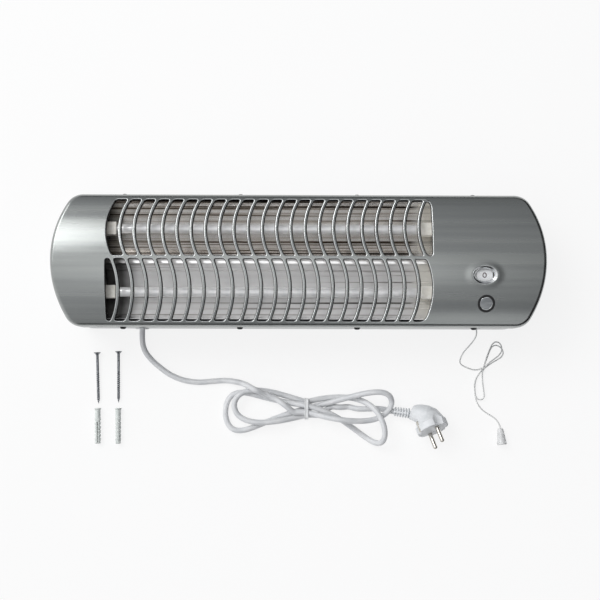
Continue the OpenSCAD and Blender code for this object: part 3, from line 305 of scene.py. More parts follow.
# Braided polyester cord: two crossing sets of plaits, drawn 1.2 mm long where real ones are 0.8 mm
def makeBraid(name):
    material, tree, shader = startMaterial(name, {"IOR": 1.5, "Sheen Weight": 0.2})
    place = addNode(tree, "ShaderNodeTexCoord").outputs["UV"]
    plaits = {}
    for i, lean in enumerate((1, -1)):
        turned = addNode(tree, "ShaderNodeMapping",
                         {"Rotation": (0, 0, lean * 0.8), "Scale": (1, 3, 1)}, {"Vector": place})
        plaits[i] = addNode(tree, "ShaderNodeTexWave", {"Scale": 1 / 1.2, "Distortion": 0.3},
                            {"Vector": turned.outputs["Vector"]}).outputs["Fac"]
    woven = addNode(tree, "ShaderNodeMath", {"operation": "MAXIMUM"}, plaits).outputs["Value"]
    colour = colourRamp(tree, woven, [(0.15, "#c6c7c6"), (0.8, "#ecedec")])
    dress(tree, shader, colour, woven, (0.7, 0.55), (0, 1), (woven, 0.6, 0.1))
    return material


materials["braidedPolyester"] = makeBraid("braidedPolyester")
print("stage: materials made")


# meshes from points in millimetres; a skin is a pair of its points and its faces
def addObject(name, data):
    item = bpy.data.objects.new(name, data)
    bpy.context.scene.collection.objects.link(item)
    return item


# Puts a piece on its body, in place of the named CAD nodes, which it hides
def joinModel(piece, body, nodes):
    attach(piece, body)
    if nodes:
        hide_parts(*nodes.split())
    return piece


def addPiece(name, skin, finish, body, nodes="", sharp=0, normals=None, uvs=None):
    mesh = bpy.data.meshes.new(name)
    mesh.from_pydata([Vector(p) * mm for p in skin[0]], [], skin[1])
    mesh.validate()
    mesh.polygons.foreach_set("use_smooth", [True] * len(mesh.polygons))
    if uvs:
        layer = mesh.uv_layers.new(name="along")
        for loop in mesh.loops:
            layer.data[loop.index].uv = uvs[loop.vertex_index]
    if normals:
        mesh.normals_split_custom_set_from_vertices([Vector(n).normalized() for n in normals])
    mesh.materials.append(materials[finish])
    if sharp:  # edges that bend by more degrees than this stay crisp
        mesh.set_sharp_from_angle(angle=math.radians(sharp))
    return joinModel(addObject(name, mesh), body, nodes)


# Skin over rings of equal count; caps close the ends with a fan round their middles
def skinRings(rings, capped=True):
    count = len(rings[0])
    points = [tuple(p) for ring in rings for p in ring]
    faces = []
    for i in range(len(rings) - 1):
        for k in range(count):
            a, b = i * count + k, i * count + (k + 1) % count
            faces.append((a, b, b + count, a + count))
    for first, turn in ((0, -1), ((len(rings) - 1) * count, 1)) if capped else ():
        middle = sum((Vector(p) for p in points[first:first + count]), Vector()) / count
        points.append(tuple(middle))
        for k in range(count):
            pair = (first + k, first + (k + 1) % count)
            faces.append((*pair[::turn], len(points) - 1))
    return points, faces


def hollowSkin(rings):  # the last ring runs back into the first
    return skinRings(rings + [rings[0]], False)


def joinSkins(skins):
    points, faces = [], []
    for more, around in skins:
        faces += [tuple(k + len(points) for k in face) for face in around]
        points += more
    return points, faces


# Frame with Z along the axis and X as near to side as can be
def frameAlong(origin, axis, side=(0, 0, 1)):
    z = Vector(axis).normalized()
    x = Vector(side) - Vector(side).dot(z) * z
    x = x.normalized() if x.length > 1e-6 else z.orthogonal().normalized()
    y = z.cross(x)
    matrix = Matrix((x, y, z)).transposed().to_4x4()
    matrix.translation = Vector(origin)
    return matrix


def circleRing(radius, height, count, place):
    turn = 2 * math.pi / count
    return [place @ Vector((radius * math.cos(k * turn), radius * math.sin(k * turn), height))
            for k in range(count)]


# Ring whose radius is worked out at each angle
def shapedRing(radiusAt, height, count, place):
    angles = [2 * math.pi * k / count for k in range(count)]
    return [place @ Vector((radiusAt(a) * math.cos(a), radiusAt(a) * math.sin(a), height))
            for a in angles]


# Turned piece: the profile is pairs of radius and height
def latheRings(profile, place, count=40):
    return [circleRing(max(radius, 0.001), height, count, place) for radius, height in profile]


def turnedSkin(profile, place, count=48):
    return skinRings(latheRings(profile, place, count))


# Rounded corner of a turned profile: from angle a to b about a middle
def corner(radius, middleR, middleH, a, b, steps=5):
    angles = [math.radians(a + (b - a) * i / steps) for i in range(steps + 1)]
    return [(middleR + radius * math.cos(t), middleH + radius * math.sin(t)) for t in angles]


def ovalLoop(a, b, at, count):
    angles = [2 * math.pi * i / count for i in range(count)]
    return [(at[0] + a * math.cos(t), at[1] + b * math.sin(t)) for t in angles]


# Smooth curve through the points, with pieces at most step long
def smoothPath(points, step):
    route = [Vector(p) for p in points]
    route = [2 * route[0] - route[1]] + route + [2 * route[-1] - route[-2]]
    result = []
    for i in range(1, len(route) - 2):
        p = route[i - 1:i + 3]
        t = [0.0]
        for a, b in zip(p, p[1:]):
            t.append(t[-1] + max((b - a).length, 1e-4) ** 0.5)

        def between(a, b, k, m):
            return a * ((t[m] - u) / (t[m] - t[k])) + b * ((u - t[k]) / (t[m] - t[k]))

        steps = max(1, math.ceil((p[2] - p[1]).length / step))
        for s in range(steps):
            u = t[1] + (t[2] - t[1]) * s / steps
            line = [between(p[k], p[k + 1], k, k + 1) for k in range(3)]
            bend = [between(line[k], line[k + 1], k, k + 2) for k in range(2)]
            result.append(between(bend[0], bend[1], 1, 2))
    result.append(route[-2])
    return result


def pathLength(points):
    return sum((Vector(b) - Vector(a)).length for a, b in zip(points, points[1:]))


# Round tube along a path, its ends rounded off by a share of the radius
def tubeAlong(points, radius, sides=14, endRound=0.3, closed=False):
    path = [Vector(p) for p in points]
    last = len(path) - 1
    rings, uvs, run = [], [], 0.0
    side = None
    for i, point in enumerate(path):
        before = path[i - 1] if i or closed else point
        after = path[(i + 1) % len(path)] if i < last or closed else point
        ahead = (after - before).normalized()
        side = ahead.orthogonal() if side is None else side - side.dot(ahead) * ahead
        side.normalize()
        up = ahead.cross(side)
        if i:
            run += (point - path[i - 1]).length
        stations = [(0, 1)]
        if endRound and not closed and i in (0, last):
            cut = endRound * radius
            stations = [(0, 1 - endRound), (cut * 0.3, 1 - endRound * 0.3), (cut, 1)]
            stations = stations if i == 0 else [(-a, b) for a, b in stations[::-1]]
        for shift, share in stations:
            centre = point + ahead * shift
            rings.append([centre + radius * share * (math.cos(2 * math.pi * k / sides) * side +
                                                     math.sin(2 * math.pi * k / sides) * up)
                          for k in range(sides)])
            uvs += [(run + shift, 2 * abs(k / sides - 0.5)) for k in range(sides)]
    if closed:
        rings.append(rings[0])
    return rings, uvs


def addTube(name, points, radius, finish, body, nodes="", sides=14, endRound=0.3):
    rings, uvs = tubeAlong(points, radius, sides, endRound)
    uvs += [(0, 0), (pathLength(points), 0)]
    return addPiece(name, skinRings(rings), finish, body, nodes, uvs=uvs)


# camera, as the photograph was taken
view = {"focal": 1065.0, "frame": 600, "sensor": 36.0, "at": (-4.17, -126.65, 1243.29),
        "right": (0.99998352, 0.00268466, 0.00507487), "up": (-0.00303781, 0.99747803, 0.07091081),
        "back": (-0.0048717, -0.07092506, 0.99746975)}
cameraData = bpy.data.cameras.new("camera")
cameraData.sensor_width = view["sensor"]
cameraData.lens = view["focal"] * view["sensor"] / view["frame"]
cameraData.clip_start = 0.05
cameraData.clip_end = 20
camera = addObject("camera", cameraData)
cameraPlace = Matrix((view["right"], view["up"], view["back"])).transposed().to_4x4()
cameraPlace.translation = Vector(view["at"]) * mm
camera.matrix_world = cameraPlace
bpy.context.scene.camera = camera

# supply lead, its hank and tail
lead = {
    "diameter": 6.5, "sides": 16, "step": 3, "clampAt": (-180.5, -22, 10),
    "outAt": (-180.5, -74.5, 10),
    "route": [(-180.5, -81, 10), (-180, -91, 7.4), (-177, -100, 4.5), (-170.5, -108.5, 3.3),
              (-161, -117, 3.3), (-148, -126, 3.3), (-133, -132, 3.3), (-115, -134.5, 3.3),
              (-100, -133.5, 3.3), (-85, -132.5, 4), (-74, -133.5, 9.5), (-63, -136, 11),
              (-50, -142.5, 19.5), (-38, -148, 14.5), (-26, -153, 13.5), (-15, -160.5, 15.5)],
    "tail": [(31, -167, 5.5), (39, -162.5, 4), (48, -163, 5), (58, -162.5, 3.3), (69, -164.5, 8.5),
             (83, -164.5, 7), (94, -164.5, 5), (103, -166, 3.3)],
    "reliefAt": (111.4, -167.6, 6.5), "neckAt": (129.5, -169.8, 10.8),
}
# The hank is four turns through the tie. Each goes out by its reach, its sides lie twice the half
# apart, and the levels are heights of the lead at eight stations a turn.
hank = {
    "tieAt": (9.5, -164.5), "reach": [98, 93.5, 89.5, 83], "half": [14.5, 19, 18, 13],
    "full": [0.07, 0.24, 0.18, 0.04], "centre": [9, -7.5, -32.5, 4.5],
    "lean": [-0.4, -1.7, 1.2, 0.8], "turn": [-1, -1, -1, 1], "waistStep": 3.7,
    "waistSlot": [-1, 0, 1, 2, -2],
    "stations": 8,
    "levels": [12.7, 21.5, 16, 10.5, 14, 21, 21, 10.5, 5, 5.5, 6, 5, 4, 3.5, 3.5, 6,
               12.7, 11.5, 3, 10, 22, 19.5, 10, 3.5, 5, 6, 9, 11.5, 11, 11.5, 13, 12.5, 5],
    "lowest": 3.27, "steps": 56,
}


def hankLevel(station):
    levels = hank["levels"]
    i = min(len(levels) - 2, int(station))
    t = station - i
    a, b, c, d = (levels[max(i - 1, 0)], levels[i], levels[i + 1],
                  levels[min(i + 2, len(levels) - 1)])
    height = (2 * b + (c - a) * t + (2 * a - 5 * b + 4 * c - d) * t * t
              + (3 * b - a - 3 * c + d) * t ** 3) / 2
    return max(height, hank["lowest"])


def hankPoint(u):
    j = min(3, int(u))
    a = math.pi * (u - j)
    eased = (1 - math.cos(a)) / 2
    side = 1 if j % 2 == 0 else -1
    slots = hank["waistSlot"]
    x = hank["tieAt"][0] + side * hank["reach"][j] * math.sin(a)
    y = (hank["tieAt"][1] + hank["waistStep"] * (slots[j] * (1 - eased) + slots[j + 1] * eased)
         + hank["centre"][j] * math.sin(a) ** 2 + hank["lean"][j] * math.sin(3 * a)
         + hank["turn"][j] * hank["half"][j]
         * (math.sin(2 * a) - hank["full"][j] * math.sin(4 * a)))
    return x, y, hankLevel(u * hank["stations"])


def tieEnd(x, k):
    return (hank["tieAt"][0] + x, hank["tieAt"][1] + hank["waistStep"] * hank["waistSlot"][k],
            hank["levels"][hank["stations"] * k])


def leadPath():
    size = lead["diameter"]
    x, _, z = lead["outAt"]
    neck, relief = Vector(lead["neckAt"]), Vector(lead["reliefAt"])
    start = [(x, -60, z), (x, -67, z), lead["outAt"]] + lead["route"]
    intoTie = [tieEnd(-2 * size - 1, 0), tieEnd(-size - 1, 0), tieEnd(-1, 0)]
    loops = [hankPoint(i / hank["steps"]) for i in range(1, 4 * hank["steps"])]
    outOfTie = [tieEnd(1, 4), tieEnd(size + 1, 4), tieEnd(2 * size + 1, 4)]
    end = lead["tail"] + [relief - size * (neck - relief).normalized(), relief]
    first, middle, last = (smoothPath(route, lead["step"])
                           for route in (start + intoTie, loops, outOfTie + end))
    return first + middle[1:] + last


def addLead(name, points, nodes):
    return addTube(name, points, lead["diameter"] / 2, "extrudedPvc", "housing",
                   nodes, lead["sides"], 0)


leadPoints = leadPath()
leadPiece = addLead("supplyLead", leadPoints, "power_cord cord_hank cord_tail")
addLead("leadInside", [lead["clampAt"], (-180.5, -40, 10), (-180.5, -59.9, 10)], "inner_lead")
print("stage: supply lead", round(pathLength(leadPoints)), "mm")


def atLevel(z, *spots):
    return [(x, y, z) for x, y in spots]


# pull cord: run, bow and tail
pull = {
    "diameter": 1.5, "knotAt": (202, -13.4, 37), "footAt": (202, -18.1, 37),
    "run": [(202, -14.9, 37), (202, -45, 37), (202, -76.5, 37), (202, -78, 37),
            (201.8, -80.6, 35.6), (201.2, -83.6, 31), (199.4, -88.2, 21.5), (196, -93.5, 12),
            (192.5, -98.5, 5.5), (189.8, -104, 2)]
           + atLevel(0.8, (188.4, -109), (189.2, -112.4), (192.5, -114.8), (198, -117.4),
                     (204.5, -119.3))
           + [(208.5, -119.2, 1.2), (212, -118.4, 2)],
    "bowAt": (214.5, -118.6, 2.5),
    "upperLoop": atLevel(3.2, (215.5, -117.3), (216.6, -113.6), (219.7, -103.6), (222.9, -95.8),
                         (225.7, -90), (230, -86.8), (234, -88), (236.3, -91.2), (236.9, -95),
                         (236.2, -98.6), (233, -102.8), (227.6, -107), (222.3, -111),
                         (216.2, -117.3)),
    "underLoop": atLevel(0.8, (215.4, -117.6), (217.6, -112), (221.2, -102.5), (224, -95.6),
                         (227, -91.8), (231.5, -90.8), (235.7, -93), (238.4, -96.7),
                         (238.8, -100.6), (236.5, -104.5), (231.8, -107.6), (225.4, -111.4),
                         (216, -118)),
    "longLoop": atLevel(3.2, (214.3, -120.4), (214, -127.6), (214.5, -136), (215.6, -144.6),
                        (216, -149.2), (214.6, -152.7), (211.3, -153.8), (207.6, -152.3),
                        (205.7, -148.4), (205, -142.7), (205, -136.2), (206.8, -129.5),
                        (213.4, -119.9)),
    "tail": [(213.6, -119.7, 0.9)] + atLevel(0.8, (207.6, -129), (205.6, -137), (205.6, -144),
                                             (206.4, -152), (208.2, -157.7), (212, -163.5),
                                             (217.9, -168.7), (223, -171.8), (228.2, -175.3))
            + [(231.8, -179.6, 1.4), (233.4, -183, 2.6)],
    "knobAt": (234.2, -187, 3.8), "knobAxis": (0.075, -0.991, 0.11), "intoKnob": (-1.5, 3),
    "step": 1.2,
}
knobAt, knobAxis = Vector(pull["knobAt"]), Vector(pull["knobAxis"]).normalized()
tailEnd = [tuple(knobAt + depth * knobAxis) for depth in pull["intoKnob"]]
cordRuns = {
    "pullCord": (pull["run"], "pull_rod_cord pull_cord"),
    "bowLoopUpper": (pull["upperLoop"], "pull_loops"),
    "bowLoopUnder": (pull["underLoop"], ""),
    "bowLoopLong": (pull["longLoop"], ""),
    "pullTail": (pull["tail"] + tailEnd, "pull_tail_cord"),
}
cordPieces, cordPaths = {}, {}
for name, (route, nodes) in cordRuns.items():
    cordPaths[name] = smoothPath(route, pull["step"])
    cordPieces[name] = addTube(name, cordPaths[name], pull["diameter"] / 2, "braidedPolyester",
                               "pull_cord", nodes, sides=10)
print("stage: pull cord", {name: round(pathLength(path)) for name, path in cordPaths.items()})


# A knot of the same cord: a trefoil drawn tight round its middle
def addKnot(name, at, axis, size, thickness, node):
    place = frameAlong(at, axis, (1, 0, 0))
    steps, sides, wide, high = 72, 10, 0.36, 0.42
    turns = []
    for i in range(steps):
        t = 2 * math.pi * i / steps
        turns.append(place @ Vector((size * (math.sin(t) + 1.5 * math.sin(2 * t)) * wide,
                                     size * (math.cos(t) - 1.5 * math.cos(2 * t)) * wide,
                                     -size * math.sin(3 * t) * high)))
    rings, uvs = tubeAlong(turns, thickness, sides, closed=True)
    return addPiece(name, skinRings(rings, False), "braidedPolyester", "pull_cord",
                    node, uvs=uvs + uvs[:sides])


bowKnot = addKnot("bowKnot", (214.4, -118.8, 2.4), (0.3, 0.2, 1), 2.3, 0.95, "bow_knot")
stopKnot = addKnot("stopKnot", pull["knotAt"], (0, 1, 0), 1.75, 0.85, "stop_knot")

# Knob: a cone open at its foot, both rims rounded, with a bore for the knotted end of the cord
knob = {"length": 18.5, "topR": 3.3, "footR": 5.7, "wall": 1.0, "boreR": 0.9, "edge": 0.8,
        "lip": 0.45, "clear": 0.05}
knobProfile = ([(knob["boreR"], 0)]
               + corner(knob["edge"], knob["topR"] - knob["edge"], knob["edge"], -90, -5)
               + [(knob["topR"] + (knob["footR"] - knob["topR"]) * s, knob["length"] * s)
                  for s in (0.3, 0.6, 0.9)]
               + corner(knob["lip"], knob["footR"] - 0.5, knob["length"] - knob["lip"], 0, 180, 6)
               + [(knob["footR"] - knob["wall"] - 1.2, 10), (knob["footR"] - knob["wall"] - 1.7, 7),
                  (knob["boreR"], 6)])
knobRings = latheRings(knobProfile, frameAlong(knobAt + knob["clear"] * knobAxis, knobAxis), 48)
knobPiece = addPiece("pullKnob", hollowSkin(knobRings), "milkyPolypropylene", "pull_cord",
                     "pull_knob")
print("stage: knots and knob")

# Front cover: a plan of the outline, the guard cells and the bezel's hole, lifted onto the front
cover = {
    "endR": 140.0, "endX": 130.0, "endAngle": 27.06, "cornerR": 18.0, "cornerAt": (238.65, 55.5),
    "halfHeight": 73.5, "axisZ": -49.06, "frontR": 145.06, "skirt": (70, 61, 52.0),
    "edgeRound": 4.4, "sheet": 0.8, "cellLeft": -209.6, "cellRight": 145.2, "upperRow": (3.5, 66.6),
    "lowerRow": (-66.8, -0.5), "barWidth": 4.2, "barCount": 22,
    "cellRounds": [2.4, 2.4, 2.4, 2.4], "endRounds": {-1: [3, 3, 9, 2], 1: [3, 6, 3, 2.4]},
    "lip": 1.5, "lipDepth": 4.2, "holeLip": 3.0,
    "upperBar": {"first": -195.2, "pitch": 15.53, "bowY": 33.5, "bowR": 68.0, "side": -1},
    "lowerBar": {"first": -196.2, "pitch": 15.57, "bowY": -33.0, "bowR": 82.0, "side": 1},
    "boss": {"inner": (14.2, 10.9), "outer": (23.5, 17.5), "height": 0.55},
    "grid": 4.0, "gaps": {"edge": 6.2, "window": 3.8, "boss": 2.0, "hole": 0.8},
}
switch = {"x": 202.0, "y": -17.1, "z": 68.0, "hole": (12.4, 9.2)}


# Points round the cover, this far inside its outline, with the way out at each
def coverOutline(inset, step=3.0):
    points = []
    angle = cover["endAngle"]
    cx, cy = cover["cornerAt"]
    for quarter in range(4):
        sx = 1 if quarter in (0, 3) else -1
        sy = 1 if quarter in (0, 1) else -1
        steps = math.ceil(math.radians(angle) * cover["endR"] / step)
        arcs = [(cover["endX"], 0, cover["endR"], angle * i / steps) for i in range(steps)]
        arcs += [(cx, cy, cover["cornerR"], angle + (90 - angle) * i / 12) for i in range(12)]
        part = []
        for x, y, r, a in arcs:
            nx, ny = math.cos(math.radians(a)), math.sin(math.radians(a))
            part.append((x + (r - inset) * nx, y + (r - inset) * ny, nx, ny))
        steps = math.ceil(cx / step)
        part += [(cx * (1 - i / steps), cy + cover["cornerR"] - inset, 0, 1) for i in range(steps)]
        part = [(sx * x, sy * y, sx * nx, sy * ny) for x, y, nx, ny in part]
        if quarter % 2:  # runs from the middle outwards
            part = [(0, sy * (cover["halfHeight"] - inset), 0, sy)] + part[::-1][:-1]
        points += part
    return points


def ovalShare(x, y, half, more=0.0):  # 1 on an oval round the bezel's middle, less inside it
    return math.hypot((x - switch["x"]) / (half[0] + more), (y - switch["y"]) / (half[1] + more))


def bossHeight(x, y):
    boss = cover["boss"]
    inside, outside = ovalShare(x, y, boss["inner"]), ovalShare(x, y, boss["outer"])
    if outside >= 1:
        return 0.0
    if inside <= 1:
        return boss["height"]
    t = (inside - 1) / (inside - outside)
    return boss["height"] * (1 - t * t * (3 - 2 * t))


def frontZ(x, y, bossed=True):
    z = cover["axisZ"] + math.sqrt(cover["frontR"] ** 2 - y * y)
    return z + bossHeight(x, y) if bossed else z


def frontNormal(x, y):
    d = 0.05
    return Vector(((frontZ(x - d, y) - frontZ(x + d, y)) / (2 * d),
                   (frontZ(x, y - d) - frontZ(x, y + d)) / (2 * d), 1)).normalized()


# One guard cell, anticlockwise from its lower left corner: its two flanks run from y0 to y1, and
# its corners are rounded by these amounts
def cellLoop(leftX, rightX, y0, y1, rounds, step=2.4):
    points = []

    def bend(a, b, c):
        for i in range(7):
            t = i / 6
            points.append(tuple((1 - t) ** 2 * a[k] + 2 * t * (1 - t) * b[k] + t * t * c[k]
                                for k in range(2)))

    def line(a, b):
        count = max(2, math.ceil(math.dist(a, b) / step))
        points.extend((a[0] + (b[0] - a[0]) * i / count, a[1] + (b[1] - a[1]) * i / count)
                      for i in range(1, count))

    def flank(edgeX, a, b):
        count = max(2, math.ceil(abs(b - a) / step))
        points.extend((edgeX(a + (b - a) * i / count), a + (b - a) * i / count)
                      for i in range(1, count))

    bl, br, tr, tl = rounds
    line((leftX(y0) + bl, y0), (rightX(y0) - br, y0))
    bend((rightX(y0) - br, y0), (rightX(y0), y0), (rightX(y0 + br), y0 + br))
    flank(rightX, y0 + br, y1 - tr)
    bend((rightX(y1 - tr), y1 - tr), (rightX(y1), y1), (rightX(y1) - tr, y1))
    line((rightX(y1) - tr, y1), (leftX(y1) + tl, y1))
    bend((leftX(y1) + tl, y1), (leftX(y1), y1), (leftX(y1 - tl), y1 - tl))
    flank(leftX, y1 - tl, y0 + bl)
    bend((leftX(y0 + bl), y0 + bl), (leftX(y0), y0), (leftX(y0) + bl, y0))
    return points


def bowedEdge(bar, x, offset):
    radius = bar["bowR"] + bar["side"] * offset
    centre = x - bar["side"] * bar["bowR"]
    return lambda y: centre + bar["side"] * math.sqrt(radius ** 2 - (y - bar["bowY"]) ** 2)


def guardCells():
    cells = []
    half = cover["barWidth"] / 2
    for bar, row in (("upperBar", "upperRow"), ("lowerBar", "lowerRow")):
        bar = cover[bar]
        upper = bar["side"] < 0
        for i in range(cover["barCount"] + 1):
            left = bowedEdge(bar, bar["first"] + (i - 1) * bar["pitch"], half)
            right = bowedEdge(bar, bar["first"] + i * bar["pitch"], -half)
            rounds = cover["cellRounds"]
            if i == 0:  # the window is straight at its upper right and lower left ends, else bowed
                edge = cover["cellLeft"]
                left = bowedEdge(bar, edge, 0) if upper else (lambda y, edge=edge: edge)
            if i == cover["barCount"]:
                edge = cover["cellRight"]
                right = (lambda y, edge=edge: edge) if upper else bowedEdge(bar, edge, 0)
                rounds = cover["endRounds"][bar["side"]]
            cells.append(cellLoop(left, right, *cover[row], rounds))
    return cells


# The way out of a loop that runs anticlockwise
def loopOut(points):
    result = []
    for i in range(len(points)):
        (ax, ay), (bx, by) = points[i - 1], points[(i + 1) % len(points)]
        length = math.hypot(bx - ax, by - ay)
        result.append(((by - ay) / length, (ax - bx) / length))
    return result


def tidyLoop(points, least=0.15):  # leaves out points that all but touch
    kept = [points[0]]
    for p in points[1:]:
        if math.dist(p, kept[-1]) > least:
            kept.append(p)
    if math.dist(kept[0], kept[-1]) <= least:
        kept.pop()
    return kept


def insideLoop(point, loop):
    inside = False
    for (ax, ay), (bx, by) in zip(loop, loop[1:] + loop[:1]):
        if ((ay > point.y) != (by > point.y)
                and point.x < ax + (bx - ax) * (point.y - ay) / (by - ay)):
            inside = not inside
    return inside


# Spots of the flat part where the mesh gets a grid, twice as fine on the slope of the boss
def gridSpots():
    grid, gaps, spots = cover["grid"], cover["gaps"], []
    across = int((cover["endX"] + cover["endR"]) / grid)
    upward = int(cover["halfHeight"] / grid)
    for i in range(-across, across + 1):
        for j in range(-upward, upward + 1):
            for fine in range(4):
                x = grid * (i + 0.5 * (fine % 2))
                y = grid * (j + 0.5 * (fine // 2))
                nearBoss = ovalShare(x, y, cover["boss"]["outer"], gaps["boss"]) < 1
                inHole = ovalShare(x, y, switch["hole"], cover["lip"] + gaps["hole"]) < 1
                inWindow = (-gaps["window"] < x - cover["cellLeft"]
                            and x - cover["cellRight"] < gaps["window"]
                            and cover["lowerRow"][0] - gaps["window"] < y
                            and y < cover["upperRow"][1] + gaps["window"])
                fromEnd = math.hypot(max(abs(x) - cover["endX"], 0), y)
                beyond = (fromEnd > cover["endR"] - gaps["edge"]
                          or abs(y) > cover["halfHeight"] - gaps["edge"])
                cx, cy = cover["cornerAt"]
                atCorner = (abs(x) > cx and abs(y) > cy and math.dist((abs(x), abs(y)), (cx, cy))
                            > cover["cornerR"] - gaps["edge"])
                if not ((fine and not nearBoss) or inHole or inWindow or beyond or atCorner):
                    spots.append((x, y))
    return spots


def buildCover():
    points, normals, faces = [], [], []
    worn, scorched = [], []
    lip = cover["lip"]
    rim = coverOutline(cover["edgeRound"])
    cells = [tidyLoop(cell) for cell in guardCells()]
    hole = ovalLoop(*switch["hole"], (switch["x"], switch["y"]), 64)
    loops = [(cell, loopOut(cell)) for cell in cells + [hole]]

    # the flat pattern: every loop set back by the lip, and a grid between them
    plan = [(x, y) for x, y, nx, ny in rim]
    edges = [(i, (i + 1) % len(plan)) for i in range(len(plan))]
    starts = []
    for loop, out in loops:
        first = len(plan)
        starts.append(first)
        plan += [(x + nx * lip, y + ny * lip) for (x, y), (nx, ny) in zip(loop, out)]
        edges += [(first + i, first + (i + 1) % len(loop)) for i in range(len(loop))]
    openings = [plan[first:first + len(loop)] for (loop, out), first in zip(loops, starts)]
    openings = [(loop, min(p[0] for p in loop), max(p[0] for p in loop)) for loop in openings]
    plan += gridSpots()
    spots, _, corners, origins, *_ = delaunay_2d_cdt([Vector(p) for p in plan], edges, [], 1, 1e-5)
    place = [0] * len(plan)
    for i, sources in enumerate(origins):
        for source in sources:
            place[source] = i
    for p in spots:
        points.append(Vector((p.x, p.y, frontZ(p.x, p.y))))
        normals.append(frontNormal(p.x, p.y))
        worn.append(0.0)
        scorched.append(0.0)
    for face in corners:
        a, b, c = (spots[k] for k in face)
        middle = (a + b + c) / 3
        if not any(x0 < middle.x < x1 and insideLoop(middle, loop) for loop, x0, x1 in openings):
            faces.append(tuple(face) if (b - a).cross(c - a) > 0 else tuple(face)[::-1])

    borders = []

    # carries a loop of the front on through new rings of the same count
    def roll(first, count, steps, flip):
        ring = [place[first + i] for i in range(count)]
        for makePoint in steps:
            fresh = []
            for i in range(count):
                fresh.append(len(points))
                point, normal, highlightShare, shadeShare = makePoint(i)
                points.append(point)
                normals.append(normal)
                worn.append(highlightShare)
                scorched.append(shadeShare)
            for i in range(count):
                k = (i + 1) % count
                quad = (ring[i], ring[k], fresh[k], fresh[i])
                faces.append(quad[::-1] if flip else quad)
            ring = fresh
        borders.append((ring, flip))

    # outer edge: a soft bend, then straight down to the skirt's end
    edgeR = cover["edgeRound"]
    outer = coverOutline(0)

    def edgePoint(t, i):
        x, y, nx, ny = outer[i]
        top = Vector((x - nx * edgeR, y - ny * edgeR, frontZ(rim[i][0], rim[i][1])))
        knee = Vector((x, y, frontZ(x, y, False)))
        foot = knee - Vector((0, 0, edgeR))
        return (1 - t) ** 2 * top + 2 * t * (1 - t) * knee + t * t * foot

    def edgeNormal(t, i):
        x, y, nx, ny = outer[i]
        along = edgePoint(min(t + 0.02, 1), i) - edgePoint(t - 0.02, i)
        return along.cross(Vector((-ny, nx, 0))).normalized()

    # share of painted highlight at each step round the cover's outer bend, strongest half-way round
    highlightAlongBend = ((0.15, 0.0), (0.3, 0.1), (0.45, 0.3), (0.6, 0.4), (0.75, 0.3), (0.9, 0.1), (1.0, 0.0))
    steps = [lambda i, t=t, highlightShare=highlightShare: (edgePoint(t, i), edgeNormal(t, i), highlightShare, 0.0)
             for t, highlightShare in highlightAlongBend]
    steps += [lambda i, z=z: (Vector((*outer[i][:2], z)), Vector((*outer[i][2:], 0)), 0.0, 0.0)
              for z in cover["skirt"]]
    roll(0, len(rim), steps, True)

    # lips of the cells and of the bezel's hole
    for (loop, out), first in zip(loops, starts):
        deep = cover["holeLip"] if loop is hole else cover["lipDepth"]

        def lipPoint(i, degrees, highlightShare, shadeShare, extra=0.0):
            (x, y), (nx, ny) = loop[i], out[i]
            turn = math.radians(degrees)
            back = lip * (1 - math.sin(turn))
            top = frontZ(x + nx * lip, y + ny * lip)
            z = top - lip * (1 - math.cos(turn)) - extra
            return (Vector((x + nx * back, y + ny * back, z)),
                    Vector((-nx * math.sin(turn), -ny * math.sin(turn), math.cos(turn))), highlightShare, shadeShare)

        # each bend of a lip: its degrees, its share of painted highlight, and its share of painted
        # shade, full on the steep flank
        bends = ((22.5, 0.7, 0.0), (45, 0.5, 0.6), (67.5, 0.1, 1.0), (90, 0.0, 1.0))
        steps = [lambda i, bent=bent: lipPoint(i, *bent) for bent in bends]
        steps.append(lambda i: lipPoint(i, 90, 0.0, 1.0, deep - lip))
        roll(first, len(loop), steps, False)

    # the sheet's inner side, and the cut edges between the two
    count = len(points)
    points += [p - n * cover["sheet"] for p, n in zip(points, normals)]
    normals += [-n for n in normals]
    worn += [0.0] * count
    scorched += scorched
    outerFaces = len(faces)
    faces += [tuple(k + count for k in face[::-1]) for face in faces]
    for ring, flip in borders:
        for i in range(len(ring)):
            a, b = ring[i], ring[(i + 1) % len(ring)]
            quad = (a, b, b + count, a + count)
            faces.append(quad[::-1] if flip else quad)
    return points, faces, normals, worn, scorched, outerFaces


points, faces, normals, worn, scorched, outerFaces = buildCover()
coverPiece = addPiece("frontCover", (points, faces), "silverLacquer", "housing",
                      "front_cover", normals=normals)
coverPiece.data.materials.append(materials["brightSheetPlain"])  # the inner side stays bare
for i, polygon in enumerate(coverPiece.data.polygons):
    polygon.material_index = 1 if outerFaces <= i < 2 * outerFaces else 0
# shares of painted highlight and painted shade at each point, read by the lacquer
for name, values in (("worn", worn), ("scorched", scorched)):
    coverPiece.data.attributes.new(name, "FLOAT", "POINT").data.foreach_set("value", values)
print("stage: cover", len(faces), "faces")


# Sheet folded along a line of (y, z) points and run along the heater from x0 to x1
def foldedSheet(profile, x0, x1, thickness, pieces, sway=0.0):
    sides = ([], [])
    for i, (y, z) in enumerate(profile):
        ay, az = profile[max(i - 1, 0)]
        by, bz = profile[min(i + 1, len(profile) - 1)]
        length = math.hypot(by - ay, bz - az)
        for side, row in enumerate(sides):
            row.append((y + side * thickness * (bz - az) / length,
                        z - side * thickness * (by - ay) / length))
    outline = sides[0] + sides[1][::-1]
    rings = []
    for k in range(pieces + 1):
        x = x0 + (x1 - x0) * k / pieces
        rings.append([(x, y, z + sway * math.sin(0.35 * k + y * 0.08) * math.sin(1.7 * k))
                      for y, z in outline])
    return skinRings(rings)


